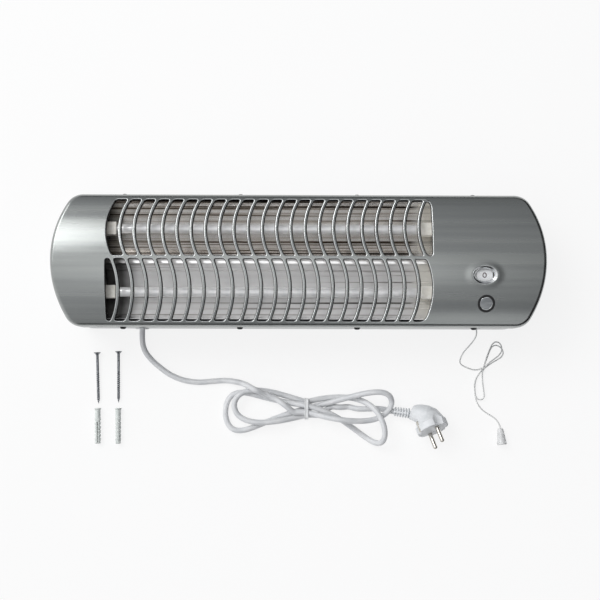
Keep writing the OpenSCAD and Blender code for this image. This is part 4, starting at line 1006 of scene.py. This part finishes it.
# Troughs behind the bars; the lower one has a crease pressed along it, the depths are outwards
trough = {"y": 34.0, "z": 91.0, "radius": 33.0, "topZ": 78.5, "sheet": 0.5, "x0": -212.7,
          "x1": 148.7, "steps": 48, "pieces": 40, "sway": 0.12, "creaseAt": 45.0,
          "creaseHalf": 0.95,
          "crease": ((-1, 0), (-0.45, 1.8), (0, 2.0), (0.45, 1.8), (1, 0))}
for side, name in ((1, "Upper"), (-1, "Lower")):
    half = math.degrees(math.acos((trough["z"] - trough["topZ"]) / trough["radius"]))
    steps = trough["steps"]
    profile = [(math.radians(-half + 2 * half * i / steps), 0.0) for i in range(steps + 1)]
    if side < 0:
        crease, width = math.radians(trough["creaseAt"]), math.radians(trough["creaseHalf"])
        profile = [(a, out) for a, out in profile if abs(a - crease) > width * 1.05]
        profile = sorted(profile + [(crease + width * s, out) for s, out in trough["crease"]])
    profile = [(side * trough["y"] + (trough["radius"] + out) * math.sin(a),
                trough["z"] - (trough["radius"] + out) * math.cos(a)) for a, out in profile]
    sheet = foldedSheet(profile, trough["x0"], trough["x1"], trough["sheet"], trough["pieces"],
                        trough["sway"])
    addPiece("reflector" + name, sheet, "brightSheet" + name, "housing",
             "reflector_" + name.lower(), 50)

ridge = {"sheet": 0.45, "pieces": 12, "endGap": 0.4,
         "profile": [(-3.9, 78.2), (-3.7, 78.75), (-2, 79.0), (0, 79.05), (2, 79.0), (3.7, 78.75),
                     (3.9, 78.2)]}
sheet = foldedSheet(ridge["profile"], trough["x0"] + ridge["endGap"],
                    trough["x1"] - ridge["endGap"], ridge["sheet"], ridge["pieces"])
addPiece("reflectorRidge", sheet, "brightSheetLower", "housing", "reflector_ridge",
         40)

# Quartz tubes with the wound element inside; the tails of its wire run on to the CAD coil's ends
tube = {"y": 35.0, "z": 72.0, "radius": 5.25, "wall": 1.0, "edge": 0.3, "steps": 12, "clear": 0.02}
coil = {"radius": 2.75, "wire": 0.42, "pitch": 2.6, "x0": -202.6, "x1": 134.6, "perTurn": 12,
        "tail": 1.5, "clear": 0.2}
for side, name in ((1, "Upper"), (-1, "Lower")):
    y, z = side * tube["y"], tube["z"]
    node = "quartz_tube_" + name.lower()
    low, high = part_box(node)
    x0, x1 = low[0] / mm + tube["clear"], high[0] / mm - tube["clear"]
    length = x1 - x0
    r, edge, steps = tube["radius"], tube["edge"], tube["steps"]
    bore = r - tube["wall"]
    heights = [length * i / steps for i in range(1, steps)]
    profile = (corner(edge, r - edge, edge, -90, 0, 3) + [(r, h) for h in heights]
               + corner(edge, r - edge, length - edge, 0, 90, 3) + [(bore, length)]
               + [(bore, h) for h in heights[::-1]] + [(bore, 0)])
    rings = latheRings(profile, frameAlong((x0, y, z), (1, 0, 0)), 40)
    addPiece("quartzTube" + name, hollowSkin(rings), "etchedQuartz", "housing", node, 60)

    node = "heating_coil_" + name.lower()
    low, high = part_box(node)
    steps = round((coil["x1"] - coil["x0"]) / coil["pitch"]) * coil["perTurn"]
    helix = [(low[0] / mm + coil["clear"], y, z), (coil["x0"] - coil["tail"], y, z)]
    for i in range(steps + 1):
        a = 2 * math.pi * i / coil["perTurn"]
        helix.append((coil["x0"] + (coil["x1"] - coil["x0"]) * i / steps,
                      y + coil["radius"] * math.cos(a), z + coil["radius"] * math.sin(a)))
    helix += [(coil["x1"] + coil["tail"], y, z), (high[0] / mm - coil["clear"], y, z)]
    addTube("heatingCoil" + name, helix, coil["wire"], "oxidisedWire", "housing",
            node, 6, 0)
print("stage: reflectors, tubes and coils")

# CAD nodes that need no more than joined facets and softened edges: finish and width of the edge
softNodes = {
    "rear_tray": ("zincSteel", 0.4), "end_plate_left": ("brightSheetPlain", 0.2),
    "end_plate_right": ("brightSheetPlain", 0.2), "ceramics_left": ("steatite", 0.8),
    "ceramics_right": ("steatite", 0.8), "tube_terminals": ("rolledBrass", 0.5),
    "terminal_link": ("rolledBrass", 0.15), "thermal_cutout": ("zincSteel", 0.4),
    "switch_frame": ("zincSteel", 0.3), "switch_block": ("ivoryPolyamide", 0.8),
    "pull_cord_bush": ("whiteAbs", 0.3), "ratchet_wheel": ("rolledBrass", 0.15),
    "switch_lever": ("rolledBrass", 0.3), "drive_blade": ("springSteel", 0.12),
    "switch_shaft": ("springSteel", 0.35), "clamp_base": ("ivoryPolyamide", 0.6),
    "clamp_bar": ("ivoryPolyamide", 0.6), "clamp_screws": ("springSteel", 0.3),
    "terminal_block": ("ivoryPolyamide", 0.7), "earth_screw": ("rolledBrass", 0.3),
    "wall_bracket": ("zincSteel", 0.4), "hinge_bolts": ("springSteel", 0.3),
    "hinge_nuts": ("springSteel", 0.3), "earth_contacts": ("nickelPlate", 0.15),
    "lead_bush": ("whiteAbs", 0.3), "lead_sleeve": ("whiteAbs", 0.2),
    "number_wheel": ("whiteAbs", 0.3),
}
softening = {"join": 0.002, "flat": 1.0, "sharp": 32, "segments": 2}  # mm, then degrees
for node, (finish, width) in softNodes.items():
    source = frame["nodes"][node]
    bm = bmesh.new()
    bm.from_mesh(source.data)
    bmesh.ops.remove_doubles(bm, verts=bm.verts, dist=softening["join"] * mm)
    bmesh.ops.dissolve_limit(bm, angle_limit=math.radians(softening["flat"]), verts=bm.verts,
                             edges=bm.edges)
    mesh = bpy.data.meshes.new(node + "Soft")
    bm.to_mesh(mesh)
    bm.free()
    mesh.materials.append(materials[finish])
    mesh.polygons.foreach_set("use_smooth", [True] * len(mesh.polygons))
    mesh.set_sharp_from_angle(angle=math.radians(softening["sharp"]))
    piece = addObject(node + "Soft", mesh)
    bevel = piece.modifiers.new("edges", "BEVEL")
    bevel.width = width * mm
    bevel.segments = softening["segments"]
    bevel.limit_method = "ANGLE"
    bevel.angle_limit = math.radians(softening["sharp"])
    bevel.harden_normals = True
    joinModel(piece, source.parent.name.split(":")[1], node)
print("stage: softened nodes", len(softNodes))

# Window bezel: an oval funnel with a rounded outer crest and a low step half-way down to the lens.
# The profile is pairs of what is added to the half sizes and of the height over the cover.
bezel = {"half": (13.5, 10.1), "count": 96,
         "profile": [(-1.62, -2.15), (-0.9, -1.3), (-0.1, -0.95), (0.0, -0.5), (-0.02, 0.75),
                     (-0.1, 1.0), (-0.24, 1.1), (-0.4, 1.04), (-0.6, 0.88), (-1.3, 0.28),
                     (-2.0, -0.32), (-2.2, -0.42), (-2.4, -0.3), (-2.6, -0.28), (-2.8, -0.4),
                     (-3.1, -0.8), (-3.25, -1.2), (-3.25, -2.15)]}
x, y = switch["x"], switch["y"]
tilt = Vector((0, y, math.sqrt(cover["frontR"] ** 2 - y ** 2)))
onFront = frameAlong(Vector((x, y, frontZ(x, y, False))), tilt, (1, 0, 0))
rings = []
for inset, height in bezel["profile"]:
    oval = ovalLoop(bezel["half"][0] + inset, bezel["half"][1] + inset, (0, 0), bezel["count"])
    rings.append([onFront @ Vector((x, y, height)) for x, y in oval])
addPiece("indicatorBezel", hollowSkin(rings), "chromedAbs", "housing",
         "indicator_bezel")

# Lens: an oval pane, its face domed by half a millimetre towards the rim
lens = {"half": (9.7, 6.35), "count": 64,
        "profile": [(0.02, -1.18), (0.5, -1.18), (0.98, -1.18), (1.0, -1.1), (1.0, -0.62),
                    (0.97, -0.5), (0.85, -0.36), (0.6, -0.2), (0.3, -0.13), (0.02, -0.12)]}
rings = []
for share, height in lens["profile"]:
    oval = ovalLoop(lens["half"][0] * share, lens["half"][1] * share, (0, 0), lens["count"])
    rings.append([onFront @ Vector((x, y, height)) for x, y in oval])
addPiece("indicatorLens", skinRings(rings), "clearPolycarbonate", "housing",
         "indicator_lens", 60)

# Figures 0, 1 and 2 in turn on the number wheel: round strokes bent round the tread
wheel = {"radius": 24.0, "stroke": 0.85, "proud": 0.25, "height": 5.6, "width": 4.3, "count": 15}


def figureStroke(figure):  # points in half widths and half heights
    if figure == 0:
        spots = [(0.84 * math.cos(2 * math.pi * i / 28), 0.87 * math.sin(2 * math.pi * i / 28))
                 for i in range(29)]
    elif figure == 1:
        spots = [(-0.5, 0.5), (0.05, 0.85), (0.15, 0.85), (0.15, -0.87)]
    else:
        turns = [math.radians(170 - 200 * i / 14) for i in range(15)]
        spots = [(0.78 * math.cos(a), 0.35 + 0.5 * math.sin(a)) for a in turns]
        spots += [(-0.8, -0.85), (0.85, -0.85)]
    return [(u * wheel["width"] / 2, v * wheel["height"] / 2) for u, v in spots]


strokes = []
reach = wheel["radius"] - wheel["stroke"] + wheel["proud"]
for i in range(wheel["count"]):
    route = []
    for u, v in figureStroke(i % 3):
        a = 2 * math.pi * i / wheel["count"] + v / wheel["radius"]
        route.append((switch["x"] + u, switch["y"] + reach * math.sin(a),
                      switch["z"] + reach * math.cos(a)))
    closed = i % 3 == 0
    rings, uvs = tubeAlong(route[:-1] if closed else route, wheel["stroke"], 8, 0.3, closed)
    strokes.append(skinRings(rings, not closed))
addPiece("wheelFigures", joinSkins(strokes), "redInk", "selector")

# Round badge: dark rim, bright hairline, plain brushed middle, bent to the front of the cover
badge = {"at": (204.3, -47.8), "count": 64, "foot": 0.01}
badgeRings = {
    "badgeRim": ("darkInk", [(6.9, 0.12), (7.05, 0.24), (7.5, 0.3), (9.0, 0.3), (9.4, 0.22),
                             (9.5, 0.04)], "round_badge"),
    "badgeLine": ("chromedAbs", [(6.4, 0.1), (6.5, 0.2), (6.8, 0.2), (6.9, 0.1)], ""),
    "badgeMiddle": ("badgeFoil", [(0.02, 0.14), (3, 0.14), (5, 0.14), (6.2, 0.14), (6.4, 0.1)], ""),
}
for name, (finish, profile, node) in badgeRings.items():
    rings = []
    under = [(profile[k][0], badge["foot"]) for k in (-1, 0)]
    for radius, height in profile + under:
        rings.append([(x, y, frontZ(x, y, False) + height)
                      for x, y in ovalLoop(radius, radius, badge["at"], badge["count"])])
    addPiece(name, hollowSkin(rings), finish, "housing", node, 50)
print("stage: bezel, wheel and badge")

# Return spring of the lever, its end hooked into the frame
spring = {"radius": 4.6, "wire": 0.5, "turns": 4, "perTurn": 32, "x": 217.1, "pitch": 1.5,
          "foot": (224.65, -12.5, 70.2)}
springPath = []
for i in range(spring["turns"] * spring["perTurn"] + 1):
    a = 2 * math.pi * i / spring["perTurn"]
    springPath.append((spring["x"] + spring["pitch"] * i / spring["perTurn"],
                       switch["y"] + spring["radius"] * math.cos(a),
                       switch["z"] + spring["radius"] * math.sin(a)))
addTube("returnSpring", springPath + [spring["foot"]], spring["wire"], "springSteel", "housing",
        "return_spring", 8)

# Wires of the switch and the lead's three cores: finish, route and the node that they stand for
wires = {
    "wireSupply": ("brownPvc", [(-168.5, 12.05, 9), (-168.5, 17.05, 9), (-166, 28, 6),
                                (-161, 40, 2.4), (-150, 48, 2.2), (-136, 50, 2.15), (-60, 50, 2.15),
                                (0, 50, 2.15), (80, 50, 2.15), (142, 50, 2.15), (156, 50, 2.15),
                                (165, 45, 6), (173, 31, 24), (177, 14, 50), (177.5, 6, 62),
                                (177.5, 2.5, 65), (177.5, -2.05, 65)], "inner_wires"),
    "wireReturn": ("bluePvc", [(-192.5, 12.05, 9), (-192.5, 16.05, 9), (-196, 20.5, 11),
                               (-202, 21, 17), (-208, 20, 22), (-217, 20, 22), (-223, 15, 34),
                               (-226.5, 7, 56), (-228.5, 2.5, 67.5), (-230.7, 1, 72),
                               (-232.7, 1, 72)], ""),
    "wireEarth": ("greenYellowPvc", [(-180.5, 12.05, 9), (-180.5, 16.05, 9), (-180.5, 25, 6.2),
                                     (-180.5, 33, 3.2), (-180.5, 38.7, 2.35)], ""),
    "wireUpper": ("brownPvc", [(168.15, -9, 76), (165.65, -9, 76), (162, -5, 76.5), (160, 4, 77),
                               (160, 14, 76), (161, 23, 73.5), (163, 28, 72), (163, 30.7, 72)], ""),
    "wireLower": ("brownPvc", [(168.15, -24, 75), (165.95, -24, 75), (163.6, -25.5, 74.2),
                               (163, -28.3, 73), (163, -30.7, 73)], ""),
}
wire = {"radius": 1.1, "step": 2.5, "sides": 10}
for name, (finish, route, node) in wires.items():
    addTube(name, smoothPath(route, wire["step"]), wire["radius"], finish, "housing",
            node, wire["sides"])
cores = {"radius": 0.95, "step": 1.5, "spread": ((2, -22), (2, -20), (6, -15), (10, -10), (10, -8)),
         "finishes": ("bluePvc", "greenYellowPvc", "brownPvc")}
for i, finish in enumerate(cores["finishes"]):
    x, _, z = lead["clampAt"]
    route = [(x + spread * (i - 1), y, z) for spread, y in cores["spread"]]
    addTube("leadCore%d" % (i + 1), smoothPath(route, cores["step"]), cores["radius"], finish,
            "housing", "" if i else "lead_cores", wire["sides"])

# Cover screws: domed heads with a cross recess, four along each long edge. The recess is pairs of
# its size and its height over the sheet.
coverScrew = {"x": (-194.5, -65, 65, 194.5), "z": 62.0, "headR": 3.5, "shankR": 1.6, "length": 7.0,
              "seat": 0.02, "dome": [(3.25, 1.0), (2.7, 1.6), (2.0, 2.0)], "count": 32,
              "recess": ((1.75, 2.08), (1.6, 1.9), (1.25, 1.0), (0.7, 0.75))}


def crossRing(size, height, count, place):
    return shapedRing(lambda a: size * (0.42 + 0.58 * abs(math.cos(2 * a)) ** 3), height, count,
                      place)


def coverScrewSkin(place):
    size, count = coverScrew, coverScrew["count"]
    shank = [(0.6, -size["length"] + 0.05), (size["shankR"], -size["length"] + 1),
             (size["shankR"], size["seat"]), (size["headR"], size["seat"]), (size["headR"], 0.25)]
    rings = latheRings(shank + size["dome"], place, count)
    rings += [crossRing(wide, height, count, place) for wide, height in size["recess"]]
    return skinRings(rings)


skins = [coverScrewSkin(frameAlong((x, side * cover["halfHeight"], coverScrew["z"]), (0, side, 0),
                                   (1, 0, 0)))
         for side in (1, -1) for x in coverScrew["x"]]
addPiece("coverScrews", joinSkins(skins), "blackOxide", "housing", "cover_screws",
         45)

# Tie round the hank: a flat band with a raised catch on its upper side. The band's profile is pairs
# of where along x and how far out.
tie = {"x": (7.25, 11.75), "y": -164.5, "halfY": 11.45, "z": (0.95, 16.75), "corner": 3.0}


def bandRing(x, grow):
    cz = sum(tie["z"]) / 2
    a, b = tie["halfY"] + grow, (tie["z"][1] - tie["z"][0]) / 2 + grow
    r = tie["corner"] + grow
    ring = []
    for quarter, (sy, sz) in enumerate(((1, 1), (-1, 1), (-1, -1), (1, -1))):
        for i in range(9):
            t = math.radians(90 * quarter + 90 * i / 8)
            ring.append((x, tie["y"] + sy * (a - r) + r * math.cos(t),
                         cz + sz * (b - r) + r * math.sin(t)))
    return ring


x0, x1 = tie["x"]
bandProfile = [(x0 + 0.25, 0.02), (x1 - 0.25, 0.02), (x1, 0.25), (x1, 0.55), (x1 - 0.25, 0.78),
               (x0 + 3.3, 0.78), (x0 + 3.0, 0.62), (x0 + 1.5, 0.62), (x0 + 1.2, 0.78),
               (x0 + 0.25, 0.78), (x0, 0.55), (x0, 0.25)]
tieSkin = hollowSkin([bandRing(x, grow) for x, grow in bandProfile])
tiePiece = addPiece("cordTie", tieSkin, "whiteAbs", "housing", "cord_tie", 40)
print("stage: wires, screws and tie")


# Joins closed skins, makes one even surface of them, cuts grooves and smooths the result. The grain
# is the voxel's size in millimetres and the rounds of smoothing.
def moulded(name, parts, cuts, grain, finish, body, nodes):
    voxel, rounds = grain

    def skinObject(label, skin):
        mesh = bpy.data.meshes.new(label)
        mesh.from_pydata([Vector(p) * mm for p in skin[0]], [], skin[1])
        return addObject(label, mesh)

    whole = skinObject(name, joinSkins(parts))
    cutters = []

    def remesh(size):
        step = whole.modifiers.new("skin", "REMESH")
        step.mode = "VOXEL"
        step.voxel_size = size * mm
        step.use_smooth_shade = True

    remesh(voxel)
    for i, cut in enumerate(cuts):
        cutters.append(skinObject(name + "Cut%d" % i, cut))
        step = whole.modifiers.new("cut", "BOOLEAN")
        step.operation = "DIFFERENCE"
        step.solver = "EXACT"
        step.object = cutters[-1]
    if cuts:
        remesh(voxel * 0.9)
    soft = whole.modifiers.new("soften", "SMOOTH")
    soft.factor = 0.5
    soft.iterations = rounds
    graph = bpy.context.evaluated_depsgraph_get()
    mesh = bpy.data.meshes.new_from_object(whole.evaluated_get(graph))
    for item in cutters + [whole]:
        old = item.data
        bpy.data.objects.remove(item)
        bpy.data.meshes.remove(old)
    mesh.materials.clear()
    mesh.materials.append(materials[finish])
    mesh.polygons.foreach_set("use_smooth", [True] * len(mesh.polygons))
    return joinModel(addObject(name, mesh), body, nodes)


def boxSkin(low, high, place):
    spots = ((low[0], low[1]), (high[0], low[1]), (high[0], high[1]), (low[0], high[1]))
    return skinRings([[place @ Vector((x, y, z)) for x, y in spots] for z in (low[2], high[2])])


def rodSkin(radius, length, place):
    return turnedSkin([(0.1, 0), (radius, 0.01), (radius, length), (0.1, length + 0.01)], place)


# Plug, Z along the pins and X from one pin to the other: a turned body with two grip hollows, a
# rounded shoulder towards the lead, and a neck in the line of the relief
plug = {"at": (154.4, -188.4, 21), "axis": (0.306, -0.871, 0.375), "line": (0.3, 0.463, 0.832),
        "radius": 18.5, "pinGap": 19.0, "pinHole": (2.75, 12), "pinFrom": -8, "back": 14.0,
        "body": [(0.1, -23.9), (9.5, -23.8), (11.4, -23.2), (12.6, -21.8), (17.3, -9.4),
                 (18.1, -8.7), (18.42, -7.9), (18.42, -1.0), (18.1, -0.3), (17.4, -0.05),
                 (0.1, -0.04)],
        "shoulderAt": (130.7, -168.6, 13.0), "shoulderAxis": (1, -0.14, 0.25),
        "shoulder": [(0.1, 0), (6.4, 0.01), (8.4, 1.2), (10.0, 5), (11.0, 11), (11.0, 18),
                     (9.6, 23), (5.5, 27), (0.1, 27.01)],
        "grain": (0.5, 5),
        "gripR": 8.95, "gripLength": 30, "gripOut": 6, "gripFrom": -20, "slot": (3, 1.6, -14, 6)}
pin = [(0.02, 0.02), (2.38, 0.03), (2.38, 8), (2.38, 25)] + corner(1.9, 0.5, 25.05, 5, 80, 6)
plugPlace = frameAlong(plug["at"], plug["axis"], plug["line"])


def alongPlug(x, z):
    return frameAlong(plugPlace @ Vector((x, 0, z)), plug["axis"], plug["line"])


pinPlaces = [alongPlug(side * plug["pinGap"] / 2, plug["pinFrom"]) for side in (-1, 1)]
gripCuts = []
for side, pinPlace in zip((-1, 1), pinPlaces):
    gripPlace = alongPlug(side * (plug["radius"] + plug["gripOut"]), plug["gripFrom"])
    gripCuts.append(rodSkin(plug["gripR"], plug["gripLength"], gripPlace))
    halfX, halfY, z0, z1 = plug["slot"]
    y = side * (plug["radius"] - 1)
    gripCuts.append(boxSkin((-halfX, y - halfY, z0), (halfX, y + halfY, z1), plugPlace))
    gripCuts.append(rodSkin(*plug["pinHole"], pinPlace))
plugBack = Vector(plug["at"]) - plug["back"] * Vector(plug["axis"]).normalized()
neckAt, reliefAt = Vector(lead["neckAt"]), Vector(lead["reliefAt"])
neckLength = (plugBack - neckAt).length
neck = [(0.1, 0), (6.2, 0.01), (6.55, 0.4), (8.4, neckLength), (0.1, neckLength + 0.01)]
plugParts = [turnedSkin(plug["body"], plugPlace, 72),
             turnedSkin(plug["shoulder"], frameAlong(plug["shoulderAt"], plug["shoulderAxis"])),
             turnedSkin(neck, frameAlong(neckAt, plugBack - neckAt))]
plugPiece = moulded("plugBody", plugParts, gripCuts, plug["grain"], "mouldedPvc", "housing",
                    "plug_body")

# Relief: a core, six ribs that grow towards the plug, and a web on either side
relief = {"coreR": (2.9, 3.2), "ribs": 6, "ribR": 5.25, "ribGrows": 0.15, "rib": 1.6, "edge": 0.3,
          "web": (2.6, 5.35, 0.8), "grain": (0.3, 2)}
reliefPlace = frameAlong(reliefAt, (neckAt - reliefAt).normalized())
length = (neckAt - reliefAt).length
thin, thick = relief["coreR"]
reliefParts = [turnedSkin([(0.1, 0.02), (thin, 0.03), (thick, length - 0.55), (0.1, length - 0.54)],
                          reliefPlace)]
for i in range(relief["ribs"]):
    z = length / relief["ribs"] * i + 0.05
    r, rib, edge = relief["ribR"] + relief["ribGrows"] * i, relief["rib"], relief["edge"]
    reliefParts.append(turnedSkin([(0.1, z), (r - edge, z + 0.01), (r, z + edge),
                                   (r, z + rib - edge), (r - edge, z + rib),
                                   (0.1, z + rib + 0.01)], reliefPlace))
inner, outer, half = relief["web"]
for x0, x1 in ((inner, outer), (-outer, -inner)):
    reliefParts.append(boxSkin((x0, -half, 0.3), (x1, half, length - 1.6), reliefPlace))
reliefPiece = moulded("plugRelief", reliefParts, [], relief["grain"], "mouldedPvc", "housing",
                      "plug_relief")

pinSkins = [turnedSkin(pin + [(0.02, 26.98)], pinPlace, 32) for pinPlace in pinPlaces]
pinPiece = addPiece("plugPins", joinSkins(pinSkins), "nickelPlate", "housing",
                    "plug_pins", 50)
print("stage: plug")

# Wall screws: countersunk heads with a cross recess, and a rolled thread up to the point
wallScrew = {"ends": (((-233.4, -100, 4), (-231.2, -159.9, 2.1)),
                      ((-208.7, -98.6, 4), (-208.1, -160.7, 2.1))),
             "headR": 4.0, "shankR": 1.6, "threadR": 2.0, "pitch": 2.4, "threadFrom": 21.4,
             "length": 60.0, "tip": 5.5, "step": 0.2, "count": 28,
             "recess": ((0.63, 1.5), (1.35, 1.2), (2.07, 0.25), (2.34, 0.02))}


def threadedSkin(place):
    size, count = wallScrew, wallScrew["count"]
    headR, shankR, start = size["headR"], size["shankR"], size["threadFrom"]
    rings = [crossRing(wide, height, count, place) for wide, height in size["recess"]]
    rings += latheRings([(3.8, 0.02), (headR, 0.1), (headR, 0.4), (2.9, 1.7), (1.75, 2.9),
                         (shankR, 3.4), (shankR, 12), (shankR, start - 1)], place, count)
    steps = int((size["length"] - start) / size["step"])
    for i in range(steps + 1):
        h = start + (size["length"] - start) * i / steps
        taper = min(1, max(0.02, (size["length"] - h) / size["tip"]))

        def threadRadius(a):
            turn = (h / size["pitch"] - a / (2 * math.pi)) % 1
            crest = max(0, 1 - abs(turn - 0.5) * 3.2) ** 1.2 * min(1, (h - start) / 2)
            return (shankR - 0.15 + (size["threadR"] - shankR + 0.12) * crest) * taper

        rings.append(shapedRing(threadRadius, h, count, place))
    return skinRings(rings)


skins = [threadedSkin(frameAlong(head, Vector(tip) - Vector(head)))
         for head, tip in wallScrew["ends"]]
addPiece("wallScrews", joinSkins(skins), "platedScrew", "housing", "wall_screws",
         40)

# Wall plugs: a collar, a plain neck, saw-toothed ribs and a slot through the bore
wallPlug = {"ends": (((-231.8, -164.5, 4.05), (-231.1, -205.5, 4.05), 90),
                     ((-208.2, -164.5, 4.05), (-207.6, -205.5, 4.05), 15)),
            "collarR": 4.0, "collar": 1.5, "neckR": 3.1, "ribFrom": 12.0, "pitch": 4.6,
            "ribDip": 0.45, "slotFrom": 15.5, "slotTo": 41.5, "slotWidth": 0.9,
            "length": 41.0, "count": 48,
            "grain": (0.28, 1),
            "bore": [(0.6, 40.94), (0.6, 30), (1.4, 29.5), (2.0, 12), (2.0, 0.03)]}


def ribbedSkin(place):
    size = wallPlug
    start, pitch, length = size["ribFrom"], size["pitch"], size["length"]
    neckR, dip = size["neckR"], size["ribDip"]
    heights = [0.02, 0.12, 1.4, 1.55, 3, 6, 9, start - 0.1]
    h = start
    while h < length - 0.5:
        heights += [h, h + 0.08, h + pitch * 0.35, h + pitch * 0.7, h + pitch - 0.12]
        h += pitch
    heights = [h for h in heights if h < length - 0.9] + [length - 0.6, length - 0.05]
    rings = []
    for h in heights:
        share = ((h - start) / pitch) % 1 if h >= start else 0

        def ribRadius(a):
            if h < size["collar"]:
                return size["collarR"] - (0.15 if h < 0.1 else 0)
            if h < start:
                return neckR
            r = neckR - 0.55 + (size["collarR"] - neckR + dip) * (1 - share)
            r = neckR - dip + (r - neckR + dip) * abs(math.cos(a)) ** 0.7
            return r - 0.5 if h > length - 1 else r

        rings.append(shapedRing(ribRadius, h, size["count"], place))
    return hollowSkin(rings + latheRings(size["bore"], place, size["count"]))


for i, (top, tip, roll) in enumerate(wallPlug["ends"]):
    place = frameAlong(top, Vector(tip) - Vector(top)) @ Matrix.Rotation(math.radians(roll), 4, "Z")
    half = wallPlug["slotWidth"] / 2
    slotCut = boxSkin((-5, -half, wallPlug["slotFrom"]), (5, half, wallPlug["slotTo"]),
                      place @ Matrix.Rotation(math.radians(90), 4, "Z"))
    moulded("wallPlug%d" % (i + 1), [ribbedSkin(place)], [slotCut], wallPlug["grain"], "waxyNylon",
            "housing", "" if i else "wall_plugs")
print("stage: wall screws and plugs")

# Floor: pale and matt; the camera and the glossy parts see it near white, and it keeps the shadow
floor = {"size": 16.0, "z": -0.0002, "colour": "#f8f8f8", "rough": 0.9, "grow": 0.82}
mesh = bpy.data.meshes.new("floor")
half = floor["size"] / 2
mesh.from_pydata([(x, y, floor["z"]) for x, y in ((-half, -half), (half, -half), (half, half),
                                                  (-half, half))], [], [(0, 1, 2, 3)])
floorPiece = addObject("floor", mesh)
material, tree, shader = startMaterial(
    "matPaperFloor",
    {"Roughness": floor["rough"], "Base Color": linearColour(floor["colour"])})
rays = addNode(tree, "ShaderNodeLightPath").outputs
seen = rays["Is Camera Ray"]
for ray in ("Is Glossy Ray", "Is Transmission Ray"):
    seen = addNode(tree, "ShaderNodeMath", {"operation": "MAXIMUM"},
                   {0: seen, 1: rays[ray]}).outputs[0]
share = addNode(tree, "ShaderNodeMath", {"operation": "MULTIPLY", 1: floor["grow"]}, {0: seen})
white = addNode(tree, "ShaderNodeEmission", {"Color": (1, 1, 1, 1), "Strength": 1.0})
mixed = addNode(tree, "ShaderNodeMixShader", None, {0: share.outputs[0], 1: shader.outputs["BSDF"],
                                                    2: white.outputs["Emission"]})
output = next(node for node in tree.nodes if node.bl_idname == "ShaderNodeOutputMaterial")
tree.links.new(mixed.outputs["Shader"], output.inputs["Surface"])
mesh.materials.append(material)

# Lamps: a soft key from the upper left, a dim fill from below, and one overhead
lamps = {
    "key": {"at": (-1.1, 0.9, 1.7), "size": 1.2, "power": 17},
    "low": {"at": (0.45, -1.3, 1.0), "size": 0.6, "power": 0.8},
    "overhead": {"at": (-0.1, -0.2, 2.3), "size": 1.3, "power": 3.0},
}
for name, look in lamps.items():
    data = bpy.data.lights.new(name, "AREA")
    data.shape = "DISK"
    data.size = look["size"]
    data.energy = look["power"]
    lamp = addObject(name, data)
    lamp.location = look["at"]
    lamp.rotation_euler = (-Vector(look["at"])).to_track_quat("-Z", "Y").to_euler()

# Studio round it: white to the left, black card to the right, dim beyond the top and the bottom
studio = {
    "strength": 1.08,
    "across": [(-1.0, "#ffffff"), (-0.25, "#fdfdfe"), (0.2, "#cfd0d2"), (0.45, "#242526"),
               (1.0, "#0e0f0f")],
    "upward": [(-1.0, "#202122"), (-0.93, "#3a3b3d"), (-0.86, "#b4b5b7"), (-0.4, "#eeeef0"),
               (0.0, "#ffffff"), (0.5, "#f2f2f4"), (0.86, "#d6d7d9"), (0.95, "#6c6d6f"),
               (1.0, "#303132")],
}
world = bpy.data.worlds.new("studio")
world.use_nodes = True
bpy.context.scene.world = world
tree = world.node_tree
tree.nodes.clear()
place = addNode(tree, "ShaderNodeTexCoord").outputs["Generated"]
parts = addNode(tree, "ShaderNodeSeparateXYZ", None, {"Vector": place})
ways = {}
for socket, axis, stops in ((6, "X", studio["across"]), (7, "Y", studio["upward"])):
    spot = addNode(tree, "ShaderNodeMapRange", {"From Min": -1.0, "From Max": 1.0},
                   {"Value": parts.outputs[axis]})
    stops = [((way + 1) / 2, colour) for way, colour in stops]
    ways[socket] = colourRamp(tree, spot.outputs["Result"], stops)
level = addNode(tree, "ShaderNodeMix",
                {"data_type": "RGBA", "blend_type": "MULTIPLY", 0: 1.0}, ways)
sky = addNode(tree, "ShaderNodeBackground", {"Strength": studio["strength"]},
              {"Color": level.outputs[2]})
plain = addNode(tree, "ShaderNodeBackground", {"Strength": 1.0, "Color": (1, 1, 1, 1)})
rays = addNode(tree, "ShaderNodeLightPath")
mixed = addNode(tree, "ShaderNodeMixShader", None, {0: rays.outputs["Is Camera Ray"],
                                                    1: sky.outputs["Background"],
                                                    2: plain.outputs["Background"]})
addNode(tree, "ShaderNodeOutputWorld", None, {"Surface": mixed.outputs["Shader"]})
bpy.context.scene.view_settings.view_transform = "Standard"
print("stage: studio ready")
